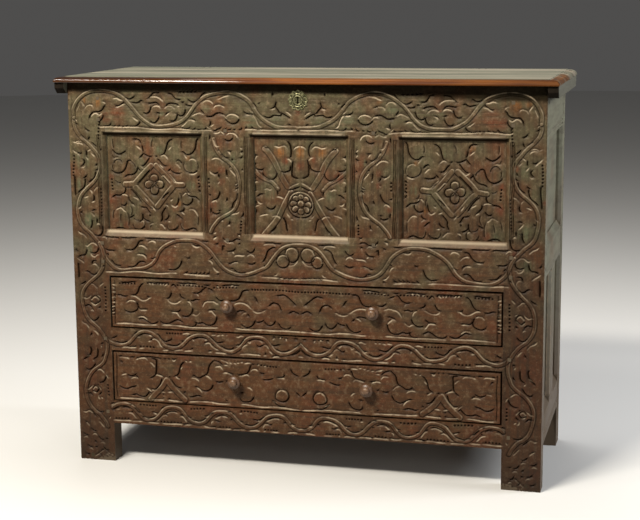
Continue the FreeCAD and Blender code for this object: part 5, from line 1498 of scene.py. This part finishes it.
def carved_board(name, node, span, face_y, sketch, wood, body, openings=(), seed=1, gaps=None):
    """A board with its strokes carved into a fine grid, closed at the rim and the back."""
    x0, x1, z0, z1 = span
    across, up = round((x1 - x0) / CELL), round((z1 - z0) / CELL)
    x, z = np.meshgrid(np.linspace(x0, x1, across + 1), np.linspace(z0, z1, up + 1))
    wave = [ripple(x, z, WANDER_SEED + axis, WANDER_LENGTH, WANDER) for axis in (0, 1)]
    carving = Carving(-np.abs(x), z, wave)
    lay_strokes(carving, sketch, face_y)
    scratch_mouldings(carving, openings)
    eased = np.zeros(x.shape)
    if gaps:
        carving.groove(np.array([(x0 + BORDER, z0 + BORDER), (x0 + BORDER, z1 - BORDER)]))
        eased = eased_edges(x, z, span, gaps)
    bevel, sill, lintel_shadow, level_edge = frame_bevels(x, z, openings)
    uncut = np.clip(1 - bevel, 0, 1)
    splinters = splintered(x, z, seed)
    uneven = np.abs(ripple(x, z, seed + UNEVEN_SEED, UNEVEN_LENGTH, UNEVEN))
    depth = bevel + uncut * (carving.depth + uneven) + SPLINTER_DEPTH * splinters
    depth = np.maximum(depth, GAP_DEPTH * eased)
    places = np.stack([x * MM, face_y + depth * MM, z * MM], -1).reshape(-1, 3)
    board = closed_board(name, places, across, up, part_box(node)[1].y)

    patchy = PATCH_MEAN + ripple(x, z, seed + PATCH_SEED, PATCH_LENGTH, PATCH_SWING)
    # A pale arris on the face edge of each bevel, full along the head of an opening and weak elsewhere.
    arris = np.clip((soften(bevel, BLUR_CELLS) - bevel) / WORN_STEP, 0, 1) * level_edge
    wear_and_highlight = np.maximum(uncut * carving.wear_and_highlight, arris) * np.clip(patchy, PATCH_LEAST, 1)
    wear_and_highlight = np.maximum(np.maximum(wear_and_highlight, SILL_WEAR * sill) * (1 - eased), SPLINTER_WEAR * splinters)
    # Darker in the inner corner of each bevel, fully along the head of an opening and less at the sides and
    # the sill.
    deep = np.clip((bevel - soften(bevel, BLUR_CELLS)) / HOLLOW_STEP, 0, 1)
    deep = deep * np.maximum(level_edge, SIDE_CORNER_SHARE)
    # Painted shadow of the lid across the top of the front, reaching lower towards the right.
    fall = LID_SHADOW_FALL * np.clip(x / LID_SHADOW_SPAN, 0, 1)
    lid_shadow = LID_SHADOW_DARKNESS * np.clip((z - LID_SHADOW_FROM + fall) / LID_SHADOW_REACH, 0, 1)
    hollow = np.max([uncut * carving.dirt_and_shadow, deep, lid_shadow, LINTEL_SHADOW_DARKNESS * lintel_shadow, eased], axis=0)
    level = (z - LOWEST_GREEN) / (HIGHEST_BROWN - LOWEST_GREEN)
    brown = 1 - level + ripple(x, z, seed + BROWN_SEED, BROWN_LENGTH, BROWN_SWING)
    ground = carving.depth / (CUT_DEPTH + DIP_DEPTH)
    write_values(board, {"wear_and_highlight": wear_and_highlight, "hollow": hollow, "brown": brown, "ground": ground, **carving.tints})
    bpy.ops.object.shade_smooth_by_angle(angle=BOARD_SMOOTH)
    board.data.materials.append(wood)
    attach(board, body)
    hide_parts(node)
    return board


print("shelter under the lid from", LID_SHADOW_FROM, "mm up")

# %% [markdown]
# ## The front of the case
# The frame boards are cut to the lengths that show: a rail runs from post to post and its tenons stay in
# the dark. Panels are a little larger than their openings, because they sit in grooves. The two posts and
# the two muntins are each other's mirror image, as the carver laid them out. One sketch holds the strokes of
# the whole frame, because a vine runs on from board to board. The sides of the boards get the plain paint.

# %% Posts, rails and muntins
post_left = span_of("post_front_left")
post_right = span_of("post_front_right")
muntin_left = span_of("front_muntin_left")
muntin_right = span_of("front_muntin_right")
panel_sill = span_of("front_middle_rail")[3]
panel_head = span_of("front_top_rail")[2]
openings = [
    (post_left[1], muntin_left[0], panel_sill, panel_head),
    (muntin_left[1], muntin_right[0], panel_sill, panel_head),
    (muntin_right[1], post_right[0], panel_sill, panel_head),
]


def between_posts(node):
    """A rail's span without its tenons."""
    return post_left[1], post_right[0], *span_of(node)[2:]


def between_rails(node):
    """A muntin's span without its tenons."""
    return *span_of(node)[:2], panel_sill, panel_head


FRAME_SKETCH = {}
for part in (TOP_RAIL, POST, MIDDLE_RAIL, DRAWER_RAIL, BOTTOM_RAIL, MUNTIN):
    for kind, strokes in part.items():
        FRAME_SKETCH[kind] = FRAME_SKETCH.get(kind, "") + "/" + strokes
SIDE_FACE = 2e-5
SIDEWAYS = 0.9
SIDES = ("left", "right")
FRAME_BOARDS = [(f"carved_post_{side}", f"post_front_{side}", carved_z, span_of) for side in SIDES]
for rail in ("top", "middle", "drawer", "bottom"):
    FRAME_BOARDS.append((f"carved_{rail}_rail", f"front_{rail}_rail", carved_x, between_posts))
FRAME_BOARDS += [(f"carved_muntin_{side}", f"front_muntin_{side}", carved_z, between_rails) for side in SIDES]
for number, (name, node, wood, shown) in enumerate(FRAME_BOARDS):
    board = carved_board(name, node, shown(node), FACE_Y, FRAME_SKETCH, wood, "case", openings, number + 1)
    board.data.materials.append(side_paint)
    for face in board.data.polygons:
        if face.area > SIDE_FACE and abs(face.normal.x) > SIDEWAYS:
            face.material_index = 1
print("carved frame boards:", len(FRAME_BOARDS))

# %% Panels and drawer fronts
PANEL_TONGUE = 4.0
DRAWER_GAPS = (2.6, 2.0, 5.0)
PANELS = [("left", OUTER_PANEL), ("centre", CENTRE_PANEL), ("right", OUTER_PANEL)]
DRAWERS = [("upper", UPPER_DRAWER), ("lower", LOWER_DRAWER)]
PANEL_SEED = 21
DRAWER_SEED = 31
for number, ((side, sketch), (left, right, bottom, top)) in enumerate(zip(PANELS, openings)):
    span = left - PANEL_TONGUE, right + PANEL_TONGUE, bottom - PANEL_TONGUE, top + PANEL_TONGUE
    node = f"front_panel_{side}"
    carved_board(f"carved_panel_{side}", node, span, PANEL_Y, sketch, carved_z, "case",
                 seed=number + PANEL_SEED)
for number, (level, sketch) in enumerate(DRAWERS):
    node = f"{level}_drawer_front"
    carved_board(f"carved_{level}_drawer", node, span_of(node), FACE_Y, sketch, carved_x,
                 f"{level}_drawer", seed=number + DRAWER_SEED, gaps=DRAWER_GAPS)
carved = [item for item in scene.objects if item.name.startswith("carved_")]
print("faces in the carving:", sum(len(item.data.polygons) for item in carved))

# %% [markdown]
# ## Lid
# The lid is one thin board with a rounded nose on its front and both ends. The flat of the board is a
# plane, and the moulding is drawn out of its rim: each step extrudes the rim and scales it about the middle
# of the rear edge, so the front and the ends move out while the rear stays straight. A bevel could round the
# edge too, but it would not follow the profile. The underside was never painted.

# %% Moulded lid
NOSE = [
    (0, 1.3), (6, 1.5), (11, 2.0), (15, 2.9), (18, 4.2), (20.2, 5.8), (21.9, 7.7), (23.1, 9.7),
    (23.8, 11.6), (24, 13.1), (23.6, 14.2), (22.8, 14.8), (21.5, 15),
]
NOSE_REACH = 24 * MM
LID_FLUSH = 0.3 * MM
LID_SMOOTH = math.radians(40)
UNDERSIDE = -0.9


def extrude_rim(scale, centre, move):
    """The selected rim extruded, scaled about a centre and moved."""
    bpy.ops.mesh.extrude_edges_move()
    bpy.ops.transform.resize(value=scale, center_override=centre)
    bpy.ops.transform.translate(value=move)


def close_rim(piece):
    """The selected rim filled, and the normals of the whole piece turned outwards."""
    bpy.ops.mesh.edge_face_add()
    bpy.ops.mesh.select_all(action="SELECT")
    bpy.ops.mesh.normals_make_consistent(inside=False)
    bpy.ops.object.mode_set(mode="OBJECT")
    return piece


lid_low, lid_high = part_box("lid_board")
half, depth = lid_high.x - NOSE_REACH, lid_high.y - lid_low.y - NOSE_REACH
rear_middle = (0, lid_high.y, 0)
deselect()
bpy.ops.mesh.primitive_plane_add(size=1)
lid = bpy.context.object
lid.name = "moulded_lid"
bpy.ops.object.mode_set(mode="EDIT")
bpy.ops.transform.resize(value=(2 * half, depth, 1))
bpy.ops.transform.translate(value=(0, lid_high.y - depth / 2, lid_high.z - LID_FLUSH))
width, run, level = half, depth, 0.0
for out, fall in NOSE:
    wide, long = half + out * MM, depth + out * MM
    drop = max(fall * MM - LID_FLUSH, 0) - level
    extrude_rim((wide / width, long / run, 1), rear_middle, (0, 0, -drop))
    width, run, level = wide, long, level + drop
close_rim(lid)
bpy.ops.object.shade_smooth_by_angle(angle=LID_SMOOTH)
lid.data.materials.append(lid_finish)
lid.data.materials.append(case_wood)
for face in lid.data.polygons:
    face.material_index = int(face.normal.z < UNDERSIDE)
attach(lid, "lid")
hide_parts("lid_board")
print("lid", len(lid.data.polygons), "faces")

# %% [markdown]
# ## Knobs
# Each drawer has two turned knobs: a slim neck, a round body and a small crown. Turning is a ring that is
# extruded and scaled along the axis, step by step, so that each step of the profile can be read off its list;
# spinning an outline would do as well. One knob is modelled and the others are copies of it.

# %% Turned knobs
KNOB = [
    (7.2, 2.5), (7.0, 6.0), (9.0, 8.2), (13.5, 10.2), (16.0, 12.8), (16.5, 15.2), (15.8, 17.6),
    (13.2, 19.4), (10.4, 20.2), (9.7, 21.2), (9.7, 22.6), (9.1, 24.8), (7.2, 26.8), (4.0, 27.8), (1.0, 28.0),
]
KNOB_FOOT = 8.2
KNOB_SIDES = 40
CROWN_FROM = 21.0
CROWN_LEAST = 0.2
CROWN_WEAR = 7.0
TURNED_SMOOTH = math.radians(50)


def turned_knob(place):
    """A knob turned along -Y from a place on the drawer front."""
    deselect()
    bpy.ops.mesh.primitive_circle_add(vertices=KNOB_SIDES, radius=KNOB_FOOT * MM)
    knob = bpy.context.object
    bpy.ops.object.mode_set(mode="EDIT")
    bpy.ops.transform.rotate(value=math.pi / 2, orient_axis="X", center_override=(0, 0, 0))
    bpy.ops.transform.translate(value=place)
    radius, reach = KNOB_FOOT, 0.0
    for next_radius, next_reach in KNOB:
        share = next_radius / radius
        extrude_rim((share, 1, share), place, (0, -(next_reach - reach) * MM, 0))
        radius, reach = next_radius, next_reach
    return close_rim(knob)


def knob_pair(first, level):
    """The two knobs of a drawer, copied from the first knob and joined in one piece."""
    low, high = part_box(f"{level}_drawer_knobs")
    radius = (high.z - low.z) / 2
    pair = []
    for x in (low.x + radius, high.x - radius):
        copy = bpy.data.objects.new(f"turned_knobs_{level}", first.data.copy())
        copy.data.transform(Matrix.Translation((x, FACE_Y, low.z + radius)))
        scene.collection.objects.link(copy)
        pair.append(copy)
    deselect()
    for copy in pair:
        copy.select_set(True)
    bpy.context.view_layer.objects.active = pair[0]
    bpy.ops.object.join()
    knobs = bpy.context.object
    reach = np.array([(FACE_Y - v.co.y) / MM for v in knobs.data.vertices])
    rubbed = np.clip((reach - CROWN_FROM) / CROWN_WEAR + CROWN_LEAST, 0, 1) * (reach > CROWN_FROM)
    write_values(knobs, {"wear_and_highlight": rubbed})
    bpy.ops.object.shade_smooth_by_angle(angle=TURNED_SMOOTH)
    knobs.data.materials.append(knob_wood)
    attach(knobs, f"{level}_drawer")
    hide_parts(f"{level}_drawer_knobs")
    return knobs


pattern = turned_knob((0, 0, 0))
pairs = [knob_pair(pattern, level) for level in ("upper", "lower")]
bpy.data.objects.remove(pattern)
print("knobs:", [len(pair.data.vertices) for pair in pairs])

# %% [markdown]
# ## Keyhole plate
# The plate is a cast rosette: twelve lobes with a hole in each, and two raised rings round the keyhole. It
# starts as a circle that is extruded inwards ring by ring, and each point is then lifted by a height that
# depends on its radius and its angle. The holes and the keyhole are sunk only a little and painted black as
# painted shade, as cutting them with booleans would leave long thin faces.

# %% Cast keyhole plate
PLATE_SIDES = 96
PLATE_RINGS = 30
PLATE_LOBES = 12
PLATE_HEIGHT = 1.3
LOBE_DEPTH = 2.2
HOLE_RADIUS = 1.9
HOLE_CIRCLE = 19.0
RINGS = [(15.0, 1.4), (10.0, 1.3)]
RING_WIDTH = 1.9
KEY_WAIST = 1.5
KEY_ROUND = 2.9
KEY_REACH = 6.0
KEY_FIELD = 8.5
FIELD_SHARE = 0.55
HOLE_FLOOR = 0.15
RIM_SHARE = 0.99
HEART_SHARE = 0.02
LOBE_POWER = 1.5
VALLEY_DIRT = 0.9
VALLEY_RISE = 0.9
VALLEY_FADE = 0.8
VALLEY_RADIUS = 17.5

plate_low, plate_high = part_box("keyhole_plate")
plate_radius = (plate_high.x - plate_low.x) / 2
deselect()
bpy.ops.mesh.primitive_circle_add(vertices=PLATE_SIDES, radius=plate_radius)
plate = bpy.context.object
plate.name = "cast_keyhole_plate"
bpy.ops.object.mode_set(mode="EDIT")
bpy.ops.transform.rotate(value=math.pi / 2, orient_axis="X", center_override=(0, 0, 0))
extrude_rim((RIM_SHARE, 1, RIM_SHARE), (0, 0, 0), (0, -PLATE_HEIGHT * MM, 0))
size = RIM_SHARE
for step in range(PLATE_RINGS):
    smaller = RIM_SHARE - (RIM_SHARE - HEART_SHARE) * (step + 1) / PLATE_RINGS
    extrude_rim((smaller / size, 1, smaller / size), (0, 0, 0), (0, 0, 0))
    size = smaller
close_rim(plate)
print("plate", round(2 * plate_radius / MM), "mm across")

# %% Lobes, rings and keyhole
spots = np.array([v.co for v in plate.data.vertices]) / MM
radius, angle = np.hypot(spots[:, 0], spots[:, 2]), np.arctan2(spots[:, 2], spots[:, 0])
shrink = 1 - LOBE_DEPTH * MM / plate_radius * np.abs(np.sin(PLATE_LOBES * angle / 2)) ** LOBE_POWER
spots[:, [0, 2]] *= shrink[:, None]
radius *= shrink
raised = -spots[:, 1]
for at, tall in RINGS:
    raised += tall * np.clip(1 - np.abs(radius - at) / RING_WIDTH, 0, 1)
turn = 2 * math.pi / PLATE_LOBES
aside = (angle + turn / 2) % turn - turn / 2
hole = np.hypot(radius - HOLE_CIRCLE, HOLE_CIRCLE * aside) < HOLE_RADIUS
across, up = np.abs(spots[:, 0]), np.abs(spots[:, 2])
key = (np.hypot(across, up - KEY_REACH) < KEY_ROUND) | ((across < KEY_WAIST) & (up < KEY_REACH))
valley = VALLEY_DIRT * np.clip((PLATE_HEIGHT + VALLEY_RISE - raised) / VALLEY_FADE, 0, 1)
valley[radius >= VALLEY_RADIUS] = 0
valley[radius < KEY_FIELD] *= FIELD_SHARE
raised[hole | key] = HOLE_FLOOR
spots[:, 1] = -raised
plate_middle = (plate_low + plate_high) / 2
spots += np.array([plate_middle.x, FACE_Y, plate_middle.z]) / MM
plate.data.vertices.foreach_set("co", (spots * MM).ravel())
# The holes and the keyhole are only sunk a little and painted black as painted shade.
write_values(plate, {"hollow": np.where(hole | key, 1.0, valley)})
bpy.ops.object.shade_smooth_by_angle(angle=TURNED_SMOOTH)
plate.data.materials.append(brass)
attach(plate, "case")
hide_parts("keyhole_plate")
print("points sunk for the holes:", int((hole | key).sum()))

# %% [markdown]
# ## Ends, rear posts and cleats
# These boards keep the joiner's shapes, but no old board has sharp arrises. Each is a copy of its solid with
# the edges bevelled, and the bevels get a finish of their own, rubbed down to the wood. Round the openings of
# the ends the joiner also ran chamfers that stop at the joints: the board is cut across at both ends of a
# chamfer, and only the stretch of edge between the cuts is bevelled.

# %% Boards with worn arrises
ARRIS = 1.3 * MM
CHAMFER = 8 * MM
NEAR = 1e-4
MERGE = 1e-5
FLAT_ANGLE = math.radians(1)
ARRIS_ANGLE = math.radians(30)
ARRIS_SEGMENTS = 2
WORN_SMOOTH = math.radians(35)


def on_chamfer(vertex, start, end):
    """Whether a point lies on the stretch of edge that is chamfered."""
    along = (end - start).normalized()
    share = (vertex.co - start).dot(along)
    aside = (vertex.co - start - share * along).length
    return aside < NEAR and -NEAR < share < (end - start).length + NEAR


def stop_chamfers(piece, chamfers):
    """Cut a board across at the ends of each chamfer, and bevel the edge between."""
    bpy.ops.mesh.select_mode(type="EDGE")
    for start, end in chamfers:
        for place in (start, end):
            bpy.ops.mesh.select_all(action="SELECT")
            bpy.ops.mesh.bisect(plane_co=place, plane_no=(end - start).normalized())
    bpy.ops.mesh.select_all(action="DESELECT")
    bpy.ops.object.mode_set(mode="OBJECT")
    points = piece.data.vertices
    for edge in piece.data.edges:
        first, last = (points[number] for number in edge.vertices)
        edge.select = any(on_chamfer(first, *line) and on_chamfer(last, *line) for line in chamfers)
    bpy.ops.object.mode_set(mode="EDIT")
    bpy.ops.mesh.bevel(offset=CHAMFER, segments=1, affect="EDGES", material=0)


def worn_copy(node, paint, body, edge=arris_finish, chamfers=()):
    """A copy of a solid with its edges bevelled and rubbed."""
    source = bpy.data.objects[node]
    piece = bpy.data.objects.new(f"worn_{node}", source.data.copy())
    piece.data.materials.clear()
    piece.data.materials.append(paint)
    piece.data.materials.append(edge)
    scene.collection.objects.link(piece)
    piece.data.transform(source.matrix_world)
    deselect()
    piece.select_set(True)
    bpy.context.view_layer.objects.active = piece
    bpy.ops.object.mode_set(mode="EDIT")
    bpy.ops.mesh.select_all(action="SELECT")
    bpy.ops.mesh.remove_doubles(threshold=MERGE)
    bpy.ops.mesh.dissolve_limited(angle_limit=FLAT_ANGLE)
    if chamfers:
        stop_chamfers(piece, chamfers)
    bpy.ops.object.mode_set(mode="OBJECT")
    bevel = piece.modifiers.new("arris", "BEVEL")
    bevel.width = ARRIS
    bevel.segments = ARRIS_SEGMENTS
    bevel.limit_method = "ANGLE"
    bevel.angle_limit = ARRIS_ANGLE
    bevel.material = 1
    bpy.ops.object.modifier_apply(modifier="arris")
    bpy.ops.object.shade_smooth_by_angle(angle=WORN_SMOOTH)
    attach(piece, body)
    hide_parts(node)
    return piece


print("arrises", ARRIS / MM, "mm and chamfers", CHAMFER / MM, "mm wide")

# %% Ends and cleats
CUT_END = -0.5


def end_chamfers(side):
    """The chamfered edges of each board round the openings of one end, from one point to another."""
    limit = 1 if side == "right" else 0
    names = "bottom_rail", "middle_rail", "top_rail", "muntin"
    box = {piece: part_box(f"{side}_side_{piece}") for piece in names}
    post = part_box(f"post_rear_{side}")
    fore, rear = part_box(f"post_front_{side}")[1].y, post[0].y
    muntin_x, muntin_fore, muntin_rear = box["muntin"][limit].x, box["muntin"][0].y, box["muntin"][1].y
    lower = box["bottom_rail"][1].z, box["middle_rail"][0].z
    upper = box["middle_rail"][1].z, box["top_rail"][0].z
    whole, halves = [(fore, rear)], [(fore, muntin_fore), (muntin_rear, rear)]

    def level(piece, z, stretches):
        x = box[piece][limit].x
        return [(Vector((x, a, z)), Vector((x, b, z))) for a, b in stretches]

    def upright(x, y, *stretches):
        return [(Vector((x, y, a)), Vector((x, y, b))) for a, b in stretches]

    middle = level("middle_rail", upper[0], whole) + level("middle_rail", lower[1], halves)
    muntin = upright(muntin_x, muntin_fore, lower) + upright(muntin_x, muntin_rear, lower)
    return {
        f"{side}_side_top_rail": level("top_rail", upper[1], whole),
        f"{side}_side_middle_rail": middle,
        f"{side}_side_bottom_rail": level("bottom_rail", lower[0], halves),
        f"{side}_side_muntin": muntin,
        f"post_rear_{side}": upright(post[limit].x, rear, lower, upper),
        f"{side}_side_upper_panel": [],
        f"{side}_side_lower_panels": [],
    }


for side in ("left", "right"):
    for node, lines in end_chamfers(side).items():
        board = worn_copy(node, side_paint, "case", chamfers=lines)
        print(node, len(lines), "chamfers,", len(board.data.polygons), "faces")
for node in ("lid_left_cleat", "lid_right_cleat"):
    cleat = worn_copy(node, cleat_finish, "lid", cleat_finish)
    # The cut ends of the cleats are painted black as painted shade.
    cleat.data.materials.append(cleat_end_shade_finish)
    for face in cleat.data.polygons:
        if face.normal.y < CUT_END:
            face.material_index = 2

# %% [markdown]
# ## The rest of the solids
# Boards inside the case and at the back keep the joiner's solids and only need a finish. The list goes
# from the particular to the general: the first word that a node's name holds decides. The floor gets its
# paint here too, pale to the eye and darker to the light that it throws back up at the chest.

# %% Finishes by name
BY_NAME = [
    ("lid_", side_paint), ("hinge", iron), ("lock", iron), ("plate", brass), ("knobs", knob_wood),
    ("drawer_front", case_wood), ("drawer_runners", case_wood), ("drawer_", drawer_wood),
    ("side_", side_paint), ("post_rear", side_paint), ("pegs", peg_finish), ("", case_wood),
]
for node in frame["nodes"]:
    item = bpy.data.objects[node]
    chosen = next(material for word, material in BY_NAME if word in node)
    item.data.materials.clear()
    item.data.materials.append(chosen)


FLOOR_THROWN = (0.20, 0.20, 0.20)
FLOOR_SEEN = (0.70, 0.70, 0.69)


def studio_floor(tree):
    """Pale where it is seen or mirrored, and darker for the light that it throws back up."""
    path = shade(tree, "LightPath").outputs
    seen = combine(tree, "MAXIMUM", path["Is Camera Ray"], path["Is Glossy Ray"])
    seen = combine(tree, "MAXIMUM", seen, path["Is Transmission Ray"])
    return {"Base Color": mix(tree, seen, FLOOR_THROWN, FLOOR_SEEN), "Roughness": 0.9}


floor_paint = finish("studio_floor", studio_floor)
floor.data.materials.append(floor_paint)
print("solids given a finish:", len(frame["nodes"]))
